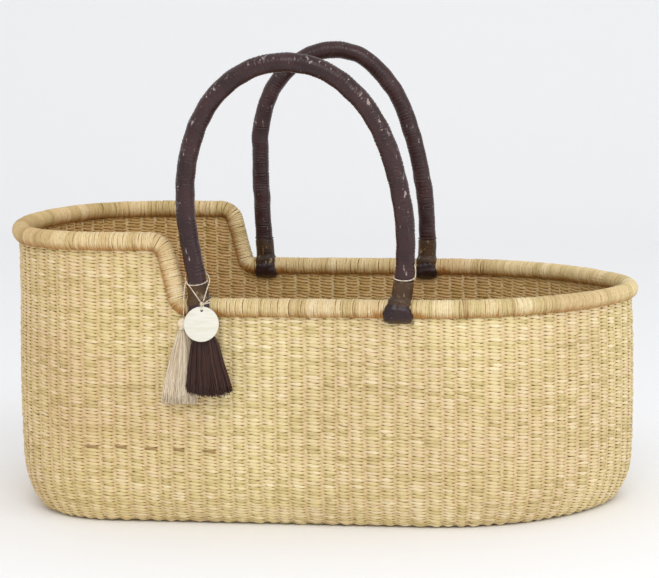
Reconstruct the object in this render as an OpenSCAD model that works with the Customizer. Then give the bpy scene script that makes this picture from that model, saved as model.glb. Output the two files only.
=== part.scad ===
// Moses basket: a twined grass wall with a raised head end and a bound rim,
// two leather-covered carrying arches, and a tag and two tassels tied to one leg.
// Origin: middle of the base, on the floor. +X runs to the foot end, -Y is the side
// with the tag, +Z is up. Millimetres.

/* [Basket plan] */
// length over the rim
basket_len = 840; // [760:5:1010]
// width over the rim
basket_w = 448; // [400:2:540]
// radius of the round foot end, to the middle of the rim
foot_end_r = 120; // [95:5:150]
// length over which the foot end curves in
foot_curve = 262; // [250:1:264]
// radius of the blunt head end, to the middle of the rim
head_end_r = 330; // [280:10:400]
// length over which the head end curves in
head_curve = 150; // [130:5:170]

/* [Basket side] */
// height of the sides, to the top of the rim
side_h = 296; // [220:2:340]
// height of the head end, to the top of the rim
head_h = 379; // [360:1:440]
// distance from the middle to the foot of the front step
front_step_end = 145; // [143:1:160]
// distance from the middle to the foot of the rear step
rear_step_end = 132; // [131:1:150]
// lean of the steps from upright
step_lean = 14; // [0:1:30]
// bend at the top of a step
step_top_r = 22; // [16:1:30]
// bend at the foot of a step
step_foot_r = 15; // [14:1:20]

/* [Wall and base] */
// thickness of the twined wall
wall_t = 7; // [4:0.5:10]
// outward swell of the wall at half height
wall_swell = 3; // [0:0.5:8]
// how far the wall draws in at the floor
foot_draw = 22; // [10:1:30]
// height over which the wall draws in
foot_draw_h = 70; // [40:5:110]
// thickness of the woven base
base_t = 7; // [4:0.5:10]
// flat border of the wall under the turned-up stakes
foot_border = 9; // [8:0.5:16]

/* [Rim] */
// diameter of the bound rim
rim_d = 24; // [18:0.5:25]
// how far the seam bands stand out from the rim and the arches
band_t = 0.3; // [0.3:0.1:0.6]

/* [Carrying arches] */
// diameter over the leather
handle_d = 24; // [18:0.5:25]
// height of the front arch over the rim's middle line
front_rise = 306; // [240:2:370]
// height of the rear arch over the rim's middle line
rear_rise = 313; // [240:2:370]
// distance from the middle to each right foot
foot_right = 120; // [110:1:122]
// distance from the middle to the front left foot
foot_front_left = 122; // [110:1:123]
// distance from the middle to the rear left foot
foot_rear_left = 115; // [105:1:116]

/* [Collars and boots] */
// diameter of the leather collars
collar_d = 26; // [24.5:0.5:28]
// top of a collar, along the leg from the rim's middle line
collar_top = 33; // [26:1:38]
// top of a boot, along the leg from the rim's middle line
boot_top = 7; // [5:0.5:10]
// radius of a front boot
front_boot_r = 20.5; // [17:0.5:21.5]
// radius of a rear boot
rear_boot_r = 17; // [16:0.5:17]
// reach of the boots round the rim, from its middle line
boot_reach = 18.6; // [17:0.1:20]
// thickness of the twine tied round each collar
tie_t = 1.6; // [1:0.1:2.5]

/* [Tag and tassels] */
// diameter of the tag
tag_d = 44; // [30:1:60]
// thickness of the tag
tag_t = 2.2; // [1:0.1:3]
// diameter of the tag's hole
tag_hole_d = 3.4; // [2.6:0.1:5]
// distance from the tag's middle to its hole
tag_hole_off = 17; // [12:0.5:19]
// lean of the tag's foot away from the wall
tag_lean = 14; // [8:1:20]
// thickness of the twine
twine_t = 1.6; // [1:0.1:2]
// radius of a tassel's head
tassel_head_r = 6; // [4:0.5:6.5]
// length of the light tassel below its head
light_skirt_l = 94; // [60:2:120]
// length of the dark tassel below its head
dark_skirt_l = 80; // [60:2:110]

/* [Fits] */
// clearance of the boots on the rim
turn_gap = 0.08; // [0.02:0.01:0.1]
// clearance of the boots in their slots in the wall
slot_gap = 0.5; // [0.3:0.1:1]
// gap between the tag's hole and the twine through it
tag_gap = 0.3; // [0.2:0.1:0.4]
// gap over each tassel's head
hang_gap = 0.5; // [0.4:0.1:0.8]

/* [Hidden] */
$fa = 3;
$fs = 1.5;

straw = [0.80, 0.68, 0.45];
straw_dark = [0.66, 0.52, 0.33];
leather = [0.22, 0.13, 0.14];
leather_olive = [0.33, 0.27, 0.19];
pale_twine = [0.80, 0.72, 0.60];
cream = [0.88, 0.82, 0.74];
tag_white = [0.93, 0.92, 0.86];

// rim's middle line, which everything is set out from
rim_r = rim_d / 2;
half_l = basket_len / 2 - rim_r;
half_w = basket_w / 2 - rim_r;
side_z = side_h - rim_r;
head_z = head_h - rim_r;

// each end is a side arc, an end arc and a side arc, tangent to one another; the radius is
// to a hundredth, so that a side arc and the straight side meet at the same figures
function hundredth(x) = round(x * 100) / 100;
function side_arc_r(end_r, curve) =
    hundredth((pow(half_w, 2) - pow(end_r, 2) + pow(curve - end_r, 2)) / (2 * (half_w - end_r)));
foot_side_r = side_arc_r(foot_end_r, foot_curve);
head_side_r = side_arc_r(head_end_r, head_curve);
foot_x = half_l - foot_curve;
head_x = head_curve - half_l;
foot_mid_x = half_l - foot_end_r;
head_mid_x = head_end_r - half_l;
foot_turn = atan2(foot_side_r - half_w, foot_curve - foot_end_r);
head_turn = atan2(half_w - head_side_r, head_end_r - head_curve);

// carries a section, drawn as (distance outward, height), along part of a level arc;
// a sweep below 0 runs clockwise
module arc(r, start, sweep) {
    rotate([0, 0, start])
        mirror([0, sweep < 0 ? 1 : 0, 0])
            rotate_extrude(angle = abs(sweep))
                translate([r, 0])
                    children();
}

module level_arc(centre, r, start, sweep) {
    translate([centre[0], centre[1], 0])
        arc(r, start, sweep)
            children();
}

// carries the same section along a straight side
module level_run(x0, x1) {
    translate([x0, 0, 0])
        rotate([90, 0, 90])
            linear_extrude(x1 - x0)
                translate([half_w, 0])
                    children();
}

// a band of section covers each place where arcs meet, and they stop short of each other in it
seam_w = 4;
function seam_turn(r) = seam_w / r * 180 / PI;
function short(r) = seam_turn(r) / 4;

module foot_arcs() {
    half_turn = foot_turn - short(foot_end_r);
    level_arc([foot_mid_x, 0], foot_end_r, -half_turn, 2 * half_turn) children();
    for (side = [0, 1])
        mirror([0, side, 0])
            level_arc([foot_x, half_w - foot_side_r], foot_side_r, 90,
                foot_turn + short(foot_side_r) - 90)
                children();
}

module head_arcs() {
    half_turn = head_turn - short(head_end_r);
    level_arc([head_mid_x, 0], head_end_r, 180 - half_turn, 2 * half_turn) children();
    for (side = [0, 1])
        mirror([0, side, 0])
            level_arc([head_x, half_w - head_side_r], head_side_r, 90,
                90 - head_turn - short(head_side_r))
                children();
}

module foot_seams() {
    for (side = [0, 1])
        mirror([0, side, 0])
            level_arc([foot_mid_x, 0], foot_end_r, foot_turn - seam_turn(foot_end_r) / 2,
                seam_turn(foot_end_r))
                children();
}

module head_seams() {
    for (side = [0, 1])
        mirror([0, side, 0])
            level_arc([head_mid_x, 0], head_end_r, 180 - head_turn - seam_turn(head_end_r) / 2,
                seam_turn(head_end_r))
                children();
}

// the plan as a flat shape, its outline moved outward by d from the rim's middle line
module plan(d) {
    cut = basket_len;
    foot_t = foot_x + (foot_side_r + d) * cos(foot_turn);
    head_t = half_w - head_side_r + (head_side_r + d) * sin(head_turn);
    translate([head_x, -half_w - d])
        square([foot_x - head_x, 2 * (half_w + d)]);
    translate([foot_mid_x, 0])
        circle(r = foot_end_r + d);
    intersection() {
        translate([foot_x, foot_side_r - half_w])
            circle(r = foot_side_r + d);
        translate([foot_x, half_w - foot_side_r])
            circle(r = foot_side_r + d);
        translate([foot_x, -half_w - d])
            square([foot_t - foot_x, 2 * (half_w + d)]);
    }
    for (side = [-1, 1])
        translate([head_x, side * (half_w - head_side_r)])
            circle(r = head_side_r + d);
    intersection() {
        translate([head_mid_x, 0])
            circle(r = head_end_r + d);
        translate([-cut, -head_t])
            square([cut + head_x, 2 * head_t]);
    }
}

// outer face of the wall at height z: swell at half height, drawn in at the floor
draw_power = 2.4;
function wall_out(z) = wall_t / 2 + wall_swell * sin(180 * min(z, side_z) / side_z)
    - foot_draw * pow(max(0, 1 - z / foot_draw_h), draw_power);
function wall_slope(z) = wall_out(z + 1) - wall_out(z);
function wall_in(z) = wall_out(z) - wall_t * sqrt(1 + pow(wall_slope(z), 2));
wall_levels = 16;
level_power = 1.7;
function level_z(i) = side_z * pow(i / wall_levels, level_power);
border_in = wall_out(0) - foot_border;

module wall_section(grow = 0) {
    outer = [for (i = [0:wall_levels]) [wall_out(level_z(i)) + grow, level_z(i)]];
    flat = base_t + grow;
    inner = [for (i = [wall_levels:-1:0]) if (level_z(i) > flat) [wall_in(level_z(i)) - grow, level_z(i)]];
    polygon(concat(outer, [[wall_t / 2 + grow, head_z], [-wall_t / 2 - grow, head_z]], inner,
        [[wall_in(flat) - grow, flat], [border_in - grow, flat], [border_in - grow, 0]]));
}

// one step of the rim, in the upright plane of a side; end is how far from the middle it stops
step_drop = head_z - side_z;
step_slant = (step_drop - (step_top_r + step_foot_r) * (1 - sin(step_lean))) / cos(step_lean);
function step_foot(end) = [-end - step_foot_r * cos(step_lean),
    side_z + step_foot_r * (1 - sin(step_lean))];
function step_start(end) = -end - (step_foot_r + step_top_r) * cos(step_lean)
    - step_slant * sin(step_lean);

module upright_arc(centre, r, start, sweep) {
    translate([centre[0], 0, centre[1]])
        rotate([90, 0, 0])
            arc(r, start, sweep)
                children();
}

module slant(end, from, length) {
    translate([step_foot(end)[0], 0, step_foot(end)[1]])
        rotate([0, -step_lean, 0])
            translate([0, 0, from])
                linear_extrude(length)
                    children();
}

// carries a round section along one side of the rim and down its step
step_seam_w = 2;
module rim_side(end) {
    level_run(-end, foot_x) translate([0, side_z]) children();
    level_run(head_x, step_start(end)) translate([0, head_z]) children();
    translate([0, half_w, 0]) {
        upright_arc([step_start(end), head_z - step_top_r], step_top_r, 90, step_lean - 90) children();
        slant(end, step_seam_w / 4, step_slant - step_seam_w / 2) children();
        upright_arc([-end, side_z + step_foot_r], step_foot_r, 270, step_lean - 90) children();
    }
}

module ring(outer, inner) {
    difference() {
        circle(r = outer);
        circle(r = inner);
    }
}

// each half of an arch: foot x, widest x, height of the widest point, shoulder radius,
// crown x, crown height; a left half is drawn as a right one and mirrored
crown_x_front = -19;
crown_x_rear = -10;
front_right = [foot_right, foot_right + 9, 76, 180, crown_x_front, front_rise];
front_left = [foot_front_left, foot_front_left + 25.5, 142, 140, -crown_x_front, front_rise];
rear_right = [foot_right, foot_right + 1, 44, 170, crown_x_rear, rear_rise];
rear_left = [foot_rear_left, foot_rear_left + 7, 176, 120, -crown_x_rear, rear_rise];

function leg_r(h) = (pow(h[1] - h[0], 2) + pow(h[2], 2)) / (2 * (h[1] - h[0]));
function leg_lean(h) = asin(h[2] / leg_r(h));
function leg_angle(h, s) = s / leg_r(h) * 180 / PI - leg_lean(h);
function leg_point(h, s) = [h[1] - leg_r(h) + leg_r(h) * cos(leg_angle(h, s)),
    h[2] + leg_r(h) * sin(leg_angle(h, s))];

// crown and side radii that join the crown to the widest point through the shoulder
crown_turn = 40;
shoulder_turn = 30;
upper_turn = crown_turn + shoulder_turn;
function rest_x(h) = h[1] - h[4] - h[3] * (sin(upper_turn) - sin(crown_turn));
function rest_z(h) = h[5] - h[2] - h[3] * (cos(crown_turn) - cos(upper_turn));
arch_det = sin(crown_turn) * cos(upper_turn) - (1 - sin(upper_turn)) * (1 - cos(crown_turn));
function crown_r(h) = (rest_x(h) * cos(upper_turn) - rest_z(h) * (1 - sin(upper_turn))) / arch_det;
function flank_r(h) = (rest_z(h) * sin(crown_turn) - rest_x(h) * (1 - cos(crown_turn))) / arch_det;

// part of a leg, from s0 to s1 along it
module leg(h, s0, s1) {
    upright_arc([h[1] - leg_r(h), h[2]], leg_r(h), leg_angle(h, s0), leg_angle(h, s1) - leg_angle(h, s0))
        children();
}

// seam bands cover the two places where the shoulder meets the arcs beside it
leg_start = 4;
module half_arch(h, r) {
    flank = [h[1] - flank_r(h), h[2]];
    shoulder = flank + (flank_r(h) - h[3]) * [sin(upper_turn), cos(upper_turn)];
    crown = [h[4], h[5] - crown_r(h)];
    seam = seam_turn(h[3]);
    upright_arc([h[1] - leg_r(h), h[2]], leg_r(h), 0, leg_angle(h, leg_start)) circle(r = r);
    upright_arc(flank, flank_r(h), 0, 90 - upper_turn) circle(r = r);
    upright_arc(shoulder, h[3], 90 - upper_turn + seam / 4, shoulder_turn - seam / 2) circle(r = r);
    upright_arc(crown, crown_r(h), 90, -crown_turn) circle(r = r);
    for (turn = [upper_turn, crown_turn])
        upright_arc(shoulder, h[3], 90 - turn - seam / 2, seam) circle(r = r + band_t);
}

// sets a half in its place: x is 1 for right and -1 for left, y is 1 for rear and -1 for front
module place(x, y) {
    translate([0, y * half_w, side_z])
        mirror([x < 0 ? 1 : 0, 0, 0])
            children();
}

// closed outline of a boot, a bell on the leg's line, kept within its reach of the rim
boot_low = boot_reach;
boot_wide_s = -5;
boot_foot_r = 14;
boot_steps = 6;
function boot_upper(r, t) = [r - (r - collar_d / 2) * pow(t, 2), boot_wide_s + (boot_top - boot_wide_s) * t];
function boot_lower(r, t) = [r - (r - boot_foot_r) * pow(t, 2), boot_wide_s - (boot_low + boot_wide_s) * t];

module boot_shape(h, r) {
    intersection() {
        translate([h[0], 0, 0])
            rotate([0, leg_lean(h), 0])
                rotate_extrude()
                    polygon(concat([[0, boot_top]],
                        [for (i = [boot_steps:-1:0]) boot_upper(r, i / boot_steps)],
                        [for (i = [1:boot_steps]) boot_lower(r, i / boot_steps)],
                        [[0, -boot_low]]));
        rim_bar(h, boot_reach);
    }
}

// a bar along the rim's line, wide enough for a boot
module rim_bar(h, r) {
    reach = 2 * boot_reach;
    translate([h[0] - reach, 0, 0])
        rotate([0, 90, 0])
            cylinder(r = r, h = 2 * reach);
}

module boot(h, r) {
    difference() {
        boot_shape(h, r);
        rim_bar(h, rim_r + turn_gap);
    }
}

module collar(h, r) {
    difference() {
        leg(h, leg_start, collar_top)
            ring(collar_d / 2, handle_d / 2);
        boot_shape(h, r);
        rim_bar(h, rim_r + turn_gap);
    }
}

tie_r = collar_d / 2 + tie_t / 2;
module tie(h) {
    leg(h, collar_top, collar_top + tie_t)
        ring(tie_r, handle_d / 2);
}

module arch_sleeve(left, right, y, r) {
    difference() {
        union() {
            place(1, y) half_arch(right, handle_d / 2);
            place(-1, y) half_arch(left, handle_d / 2);
        }
        place(1, y) rim_bar(right, rim_r + turn_gap);
        place(-1, y) rim_bar(left, rim_r + turn_gap);
        place(1, y) boot_shape(right, r);
        place(-1, y) boot_shape(left, r);
    }
}

// a slot under the rim that a boot turns in
module boot_slot(h, r) {
    drop = boot_reach + slot_gap;
    slide = boot_low * sin(leg_lean(h)) / 2;
    under = boot_lower(r, (rim_r + boot_wide_s) / (boot_low + boot_wide_s))[0];
    half_slot = under + slot_gap + slide / 2;
    translate([h[0] - slide / 2 - half_slot, -wall_t - wall_swell, -drop])
        cube([2 * half_slot, 2 * (wall_t + wall_swell), drop]);
}

// everything over the underside of the rim on one side, as an upright profile
seat_r = rim_r + band_t;
bend_cuts = 8;
function bend(centre, r, start, turn) = [for (i = [0:bend_cuts])
    let (a = start + turn * i / bend_cuts) centre + r * [cos(a), sin(a)]];
module above_rim(end) {
    over = basket_len;
    translate([0, basket_w, 0])
        rotate([90, 0, 0])
            linear_extrude(basket_w)
                polygon(concat([[over, over], [over, side_z - seat_r]],
                    bend([-end, side_z + step_foot_r], step_foot_r + seat_r, 270, step_lean - 90),
                    bend([step_start(end), head_z - step_top_r], step_top_r - seat_r, step_lean,
                        90 - step_lean),
                    [[-over, head_z - seat_r], [-over, over]]));
}

module base_panel() {
    color(straw_dark)
        linear_extrude(base_t)
            plan(border_in - band_t);
}

module wall_weave() {
    color(straw)
        difference() {
            union() {
                foot_arcs() wall_section();
                head_arcs() wall_section();
                for (side = [0, 1])
                    mirror([0, side, 0])
                        level_run(head_x, foot_x) wall_section();
                foot_seams() wall_section(band_t);
                head_seams() wall_section(band_t);
            }
            above_rim(rear_step_end);
            mirror([0, 1, 0]) above_rim(front_step_end);
            place(-1, -1) boot_slot(front_left, front_boot_r);
            place(1, -1) boot_slot(front_right, front_boot_r);
            place(-1, 1) boot_slot(rear_left, rear_boot_r);
            place(1, 1) boot_slot(rear_right, rear_boot_r);
        }
}

module rim_wrap() {
    color(straw) {
        foot_arcs() translate([0, side_z]) circle(r = rim_r);
        head_arcs() translate([0, head_z]) circle(r = rim_r);
        rim_side(rear_step_end) circle(r = rim_r);
        mirror([0, 1, 0]) rim_side(front_step_end) circle(r = rim_r);
        foot_seams() translate([0, side_z]) circle(r = rim_r + band_t);
        head_seams() translate([0, head_z]) circle(r = rim_r + band_t);
        translate([0, half_w, 0]) step_seams(rear_step_end);
        translate([0, -half_w, 0]) step_seams(front_step_end);
    }
}

module step_seams(end) {
    for (from = [-step_seam_w / 2, step_slant - step_seam_w / 2])
        slant(end, from, step_seam_w) circle(r = rim_r + band_t);
}

module front_handle_sleeve() { color(leather) arch_sleeve(front_left, front_right, -1, front_boot_r); }
module rear_handle_sleeve() { color(leather) arch_sleeve(rear_left, rear_right, 1, rear_boot_r); }

module front_left_collar() { color(leather_olive) place(-1, -1) collar(front_left, front_boot_r); }
module front_right_collar() { color(leather_olive) place(1, -1) collar(front_right, front_boot_r); }
module rear_left_collar() { color(leather_olive) place(-1, 1) collar(rear_left, rear_boot_r); }
module rear_right_collar() { color(leather_olive) place(1, 1) collar(rear_right, rear_boot_r); }

module front_left_tie() { color(pale_twine) place(-1, -1) tie(front_left); }
module front_right_tie() { color(pale_twine) place(1, -1) tie(front_right); }
module rear_left_tie() { color(pale_twine) place(-1, 1) tie(rear_left); }
module rear_right_tie() { color(pale_twine) place(1, 1) tie(rear_right); }

module front_left_boot() { color(leather) place(-1, -1) boot(front_left, front_boot_r); }
module front_right_boot() { color(leather) place(1, -1) boot(front_right, front_boot_r); }
module rear_left_boot() { color(leather) place(-1, 1) boot(rear_left, rear_boot_r); }
module rear_right_boot() { color(leather) place(1, 1) boot(rear_right, rear_boot_r); }

// the tag, its knot and the tassels hang in front of the front left boot
knot_r = 3;
knot = [-foot_front_left - 2, -half_w - 24.5, side_z + 8];
tag_ring_r = 4.2;
tag_pin = [knot[0], knot[1] - 1, knot[2] - tag_ring_r * 2 + 0.6];
tag_drop = tag_hole_d / 2 - twine_t / 2 + 0.1 - tag_gap;
light_top = [-foot_front_left - 28, -half_w - 12.5, side_z - 12];
dark_top = [-foot_front_left + 2, -half_w - 21.5, side_z - 12];

// a soft tube along points, by rings square to its line
function unit(v) = v / norm(v);
function along(p, i) = unit(p[min(i + 1, len(p) - 1)] - p[max(i - 1, 0)]);
function side_of(t) = unit(cross(t, abs(t[1]) < 0.8 ? [0, 1, 0] : [1, 0, 0]));
module tube(p, r, sides = 8) {
    n = len(p);
    rings = [for (i = [0:n - 1]) let (t = along(p, i), a = side_of(t), b = cross(t, a))
        for (k = [0:sides - 1]) p[i] + r * (cos(360 * k / sides) * a + sin(360 * k / sides) * b)];
    body = [for (i = [0:n - 2]) for (k = [0:sides - 1])
        [i * sides + k, i * sides + (k + 1) % sides, (i + 1) * sides + (k + 1) % sides, (i + 1) * sides + k]];
    polyhedron(rings, concat(body, [[for (k = [sides - 1:-1:0]) k],
        [for (k = [0:sides - 1]) (n - 1) * sides + k]]));
}

// a smooth line through hand-set points
function spline_at(p, i, t) =
    let (a = p[max(i - 1, 0)], b = p[i], c = p[i + 1], d = p[min(i + 2, len(p) - 1)])
    0.5 * (2 * b + (c - a) * t + (2 * a - 5 * b + 4 * c - d) * t * t + (3 * b - a - 3 * c + d) * t * t * t);
function smooth(p, cuts) = concat([for (i = [0:len(p) - 2]) for (k = [0:cuts - 1]) spline_at(p, i, k / cuts)],
    [p[len(p) - 1]]);

// the twine goes up from the knot, round the back of the leg and down again
loop_gap = 0.7;
loop_r = handle_d / 2 + twine_t / 2 + loop_gap;
loop_s = 46;
corner_s = collar_top + 3;
function leg_mid(s) = [-leg_point(front_left, s)[0], -half_w, side_z + leg_point(front_left, s)[1]];
function round_leg(s, turn, r = loop_r) = leg_mid(s) + r * [sin(turn), cos(turn), 0];
// it leaves the leg past the tie, and enters the knot from both sides
corner_r = tie_r + twine_t / 2;
left_corner = round_leg(corner_s, -112, corner_r + 1.1);
right_corner = round_leg(corner_s, 105, corner_r + 1.5);
left_end = knot + [-2.2, -0.4, 3.4];
right_end = knot + [2.2, -0.4, 3.4];
loop_route = [left_end, (2 * left_end + left_corner) / 3, (left_end + 2 * left_corner) / 3, left_corner,
    round_leg(loop_s - 3, -80, loop_r + 0.4), round_leg(loop_s, -40), round_leg(loop_s + 1, 0),
    round_leg(loop_s, 40), round_leg(loop_s - 3, 78, loop_r + 0.4), right_corner,
    (right_end + 2 * right_corner) / 3, (2 * right_end + right_corner) / 3, right_end];
loop_cuts = 5;

// the light tassel's string hangs from the loop, beside the collar
light_route = [light_top, light_top + [0.3, -0.9, 8], light_top + [0.8, -1.1, 20], light_top + [1.4, 0.6, 34],
    left_corner + [0.2, -2.6, -1.6]];
light_cuts = 5;

module tag_loop() {
    color(pale_twine)
        tube(smooth(loop_route, loop_cuts), twine_t / 2);
}

module light_tassel_string() {
    color(pale_twine)
        tube(smooth(light_route, light_cuts), twine_t / 2);
}

// a straight piece of twine
module strand(a, b) {
    d = b - a;
    translate(a)
        rotate([0, acos(d[2] / norm(d)), atan2(d[1], d[0])])
            cylinder(d = twine_t, h = norm(d));
}

module tag_knot() {
    color(pale_twine) {
        translate(knot) sphere(r = knot_r);
        translate(tag_pin)
            rotate([-tag_lean, 0, 0])
                translate([0, 0, tag_ring_r])
                    rotate([0, 90, 0])
                        rotate_extrude()
                            translate([tag_ring_r, 0])
                                circle(d = twine_t - 0.2);
        strand(knot, knot + [11, -0.5, 3]);
        strand(knot, knot + [9, -1, 6]);
        strand(knot + [1, 2.2, -1.2], dark_top);
    }
}

module tag_disc() {
    color(tag_white)
        translate(tag_pin)
            rotate([-tag_lean, 0, 0])
                translate([0, 0, -tag_drop])
                    rotate([90, 0, 0])
                        translate([0, 0, -tag_t / 2])
                            linear_extrude(tag_t)
                                difference() {
                                    translate([0, -tag_hole_off]) circle(d = tag_d);
                                    circle(d = tag_hole_d);
                                }
}

// a tassel: a round head on a bound neck, and a flat fan of strands
binding_h = 4;
binding_r = tassel_head_r - 0.8;
head_cut = 4;
function head_mid(top) = top - [0, 0, hang_gap + tassel_head_r];

module tassel_head(top) {
    translate(head_mid(top))
        difference() {
            sphere(r = tassel_head_r);
            translate([-tassel_head_r, -tassel_head_r, -2 * tassel_head_r - head_cut])
                cube([2 * tassel_head_r, 2 * tassel_head_r, 2 * tassel_head_r]);
        }
}

module tassel_binding(top) {
    translate(head_mid(top) - [0, 0, head_cut + binding_h])
        cylinder(r = binding_r, h = binding_h);
}

// rows of the fan: share of its length, middle x, middle y, half width, half depth
module fan(top, length, rows, sides = 16) {
    start = head_mid(top) - [0, 0, head_cut + binding_h];
    n = len(rows);
    points = [for (q = rows) for (k = [0:sides - 1])
        start + [q[1] + q[3] * cos(360 * k / sides), q[2] + q[4] * sin(360 * k / sides), -q[0] * length]];
    body = [for (i = [0:n - 2]) for (k = [0:sides - 1])
        [(i + 1) * sides + k, (i + 1) * sides + (k + 1) % sides, i * sides + (k + 1) % sides, i * sides + k]];
    polyhedron(points, concat(body, [[for (k = [0:sides - 1]) k],
        [for (k = [sides - 1:-1:0]) (n - 1) * sides + k]]));
}
light_rows = [[0, 0, 0, 4.8, 4], [0.08, 0, 0, 7, 4], [0.25, 0, 0, 11, 4], [0.5, 0, 0, 16, 4],
    [0.75, -0.5, 0, 20, 4], [1, -0.5, 0, 23, 4]];
dark_rows = [[0, 0, 0, 4.8, 4.4], [0.1, 0.3, -0.6, 9, 4.4], [0.25, 1, -2, 14, 5], [0.5, 3, -4.3, 21, 5.5],
    [0.75, 5, -4.5, 27, 5.5], [1, 6, -4.5, 31, 5.5]];

module light_tassel_head() { color(cream) tassel_head(light_top); }
module light_tassel_binding() { color(cream) tassel_binding(light_top); }
module light_tassel_skirt() { color(cream) fan(light_top, light_skirt_l, light_rows); }
module dark_tassel_head() { color(leather) tassel_head(dark_top); }
module dark_tassel_binding() { color(leather) tassel_binding(dark_top); }
module dark_tassel_skirt() { color(leather) fan(dark_top, dark_skirt_l, dark_rows); }

base_panel();
wall_weave();
rim_wrap();
front_handle_sleeve();
rear_handle_sleeve();
front_left_collar();
front_right_collar();
rear_left_collar();
rear_right_collar();
front_left_tie();
front_right_tie();
rear_left_tie();
rear_right_tie();
front_left_boot();
front_right_boot();
rear_left_boot();
rear_right_boot();
tag_loop();
light_tassel_string();
tag_knot();
tag_disc();
light_tassel_head();
light_tassel_binding();
light_tassel_skirt();
dark_tassel_head();
dark_tassel_binding();
dark_tassel_skirt();
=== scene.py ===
import math
from contextlib import contextmanager

import bpy
import numpy as np
from mathutils import Matrix, Vector


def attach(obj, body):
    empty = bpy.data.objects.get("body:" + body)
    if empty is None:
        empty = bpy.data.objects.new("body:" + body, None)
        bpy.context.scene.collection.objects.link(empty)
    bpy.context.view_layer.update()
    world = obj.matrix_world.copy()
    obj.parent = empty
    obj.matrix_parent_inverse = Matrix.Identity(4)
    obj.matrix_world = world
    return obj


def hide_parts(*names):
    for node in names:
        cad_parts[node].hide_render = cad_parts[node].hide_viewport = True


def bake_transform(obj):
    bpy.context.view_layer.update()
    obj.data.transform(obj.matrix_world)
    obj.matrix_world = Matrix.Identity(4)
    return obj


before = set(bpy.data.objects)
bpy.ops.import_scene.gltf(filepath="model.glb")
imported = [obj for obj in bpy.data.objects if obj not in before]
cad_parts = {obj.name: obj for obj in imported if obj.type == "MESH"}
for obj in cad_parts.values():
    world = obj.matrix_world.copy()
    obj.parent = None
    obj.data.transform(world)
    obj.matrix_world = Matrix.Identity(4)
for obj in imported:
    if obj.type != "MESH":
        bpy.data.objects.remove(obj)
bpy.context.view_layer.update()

mm = 0.001
rightAngle = math.pi / 2
scene = bpy.context.scene

# the basket's own measures, the same as the frame's, in metres
basket = {"length": 0.840, "width": 0.448, "footEnd": 0.120, "footCurve": 0.262,
          "headEnd": 0.330, "headCurve": 0.150, "side": 0.296, "head": 0.379,
          "frontStep": 0.145, "rearStep": 0.132, "stepLean": 14, "stepTop": 0.022, "stepFoot": 0.015,
          "wall": 0.007, "swell": 0.003, "draw": 0.022, "drawHeight": 0.070,
          "rim": 0.024, "sleeve": 0.024}
rimR = basket["rim"] / 2
halfL = basket["length"] / 2 - rimR
halfW = basket["width"] / 2 - rimR
sideZ = basket["side"] - rimR
headZ = basket["head"] - rimR
lean = math.radians(basket["stepLean"])

# the two arches; x is counted from the middle and z from the rim's middle line
arches = {
    "front": {"y": -halfW,
              "left": {"foot": 0.122, "wide": 0.1475, "wideZ": 0.142, "shoulder": 0.140,
                       "crown": 0.019, "crownZ": 0.306},
              "right": {"foot": 0.120, "wide": 0.129, "wideZ": 0.076, "shoulder": 0.180,
                        "crown": -0.019, "crownZ": 0.306}},
    "rear": {"y": halfW,
             "left": {"foot": 0.115, "wide": 0.122, "wideZ": 0.176, "shoulder": 0.120,
                      "crown": 0.010, "crownZ": 0.313},
             "right": {"foot": 0.120, "wide": 0.121, "wideZ": 0.044, "shoulder": 0.170,
                       "crown": -0.010, "crownZ": 0.313}},
}
# the front left leg bends in a little above its boot
kick = {"by": 9 * mm, "over": 45 * mm}
legs = [(side, end) for side in arches for end in ("left", "right")]
towards = {"left": -1, "right": 1}


def settle(side, end, x, z):
    if side == "front" and end == "left":
        x += kick["by"] * max(0, 1 - z / kick["over"]) ** 1.3
    return x


# where a leg stands on the rim
def footOf(side, end, z=0):
    return towards[end] * settle(side, end, arches[side][end]["foot"], z)


def legRadius(leg):
    out = leg["wide"] - leg["foot"]
    return (out ** 2 + leg["wideZ"] ** 2) / (2 * out)


def legLean(leg):
    return math.asin(leg["wideZ"] / legRadius(leg))


# x and height of a leg, s along it from the rim's middle line
def legAt(leg, s):
    r = legRadius(leg)
    turn = s / r - legLean(leg)
    return leg["wide"] - r + r * math.cos(turn), leg["wideZ"] + r * math.sin(turn)


# small helpers for working on one object at a time
def activate(obj):
    if bpy.context.mode != "OBJECT":
        bpy.ops.object.mode_set(mode="OBJECT")
    bpy.ops.object.select_all(action="DESELECT")
    obj.select_set(True)
    bpy.context.view_layer.objects.active = obj


# edit mode with the whole mesh selected, or none of it
@contextmanager
def editing(obj, select="SELECT"):
    activate(obj)
    bpy.ops.object.mode_set(mode="EDIT")
    bpy.ops.mesh.select_all(action=select)
    yield
    bpy.ops.object.mode_set(mode="OBJECT")


# edit mode with only the chosen vertices, edges or faces selected
@contextmanager
def editingOnly(obj, kind, chosen):
    with editing(obj, "DESELECT"):
        bpy.ops.mesh.select_mode(type=kind)
    parts = {"VERT": obj.data.vertices, "EDGE": obj.data.edges, "FACE": obj.data.polygons}[kind]
    parts.foreach_set("select", chosen)
    bpy.ops.object.mode_set(mode="EDIT")
    yield
    bpy.ops.mesh.select_mode(type="VERT")
    bpy.ops.object.mode_set(mode="OBJECT")


def applyModifiers(obj):
    activate(obj)
    for modifier in list(obj.modifiers):
        bpy.ops.object.modifier_apply(modifier=modifier.name)


def joined(objects):
    activate(objects[0])
    for other in objects[1:]:
        other.select_set(True)
    bpy.ops.object.join()
    return objects[0]


def pointsOf(obj):
    points = np.empty(len(obj.data.vertices) * 3)
    obj.data.vertices.foreach_get("co", points)
    return points.reshape(-1, 3)


def setPoints(obj, points):
    obj.data.vertices.foreach_set("co", np.asarray(points, float).ravel())
    obj.data.update()


# a share of the way, from 0 to 1
def share(values):
    return np.clip(values, 0, 1)


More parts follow.
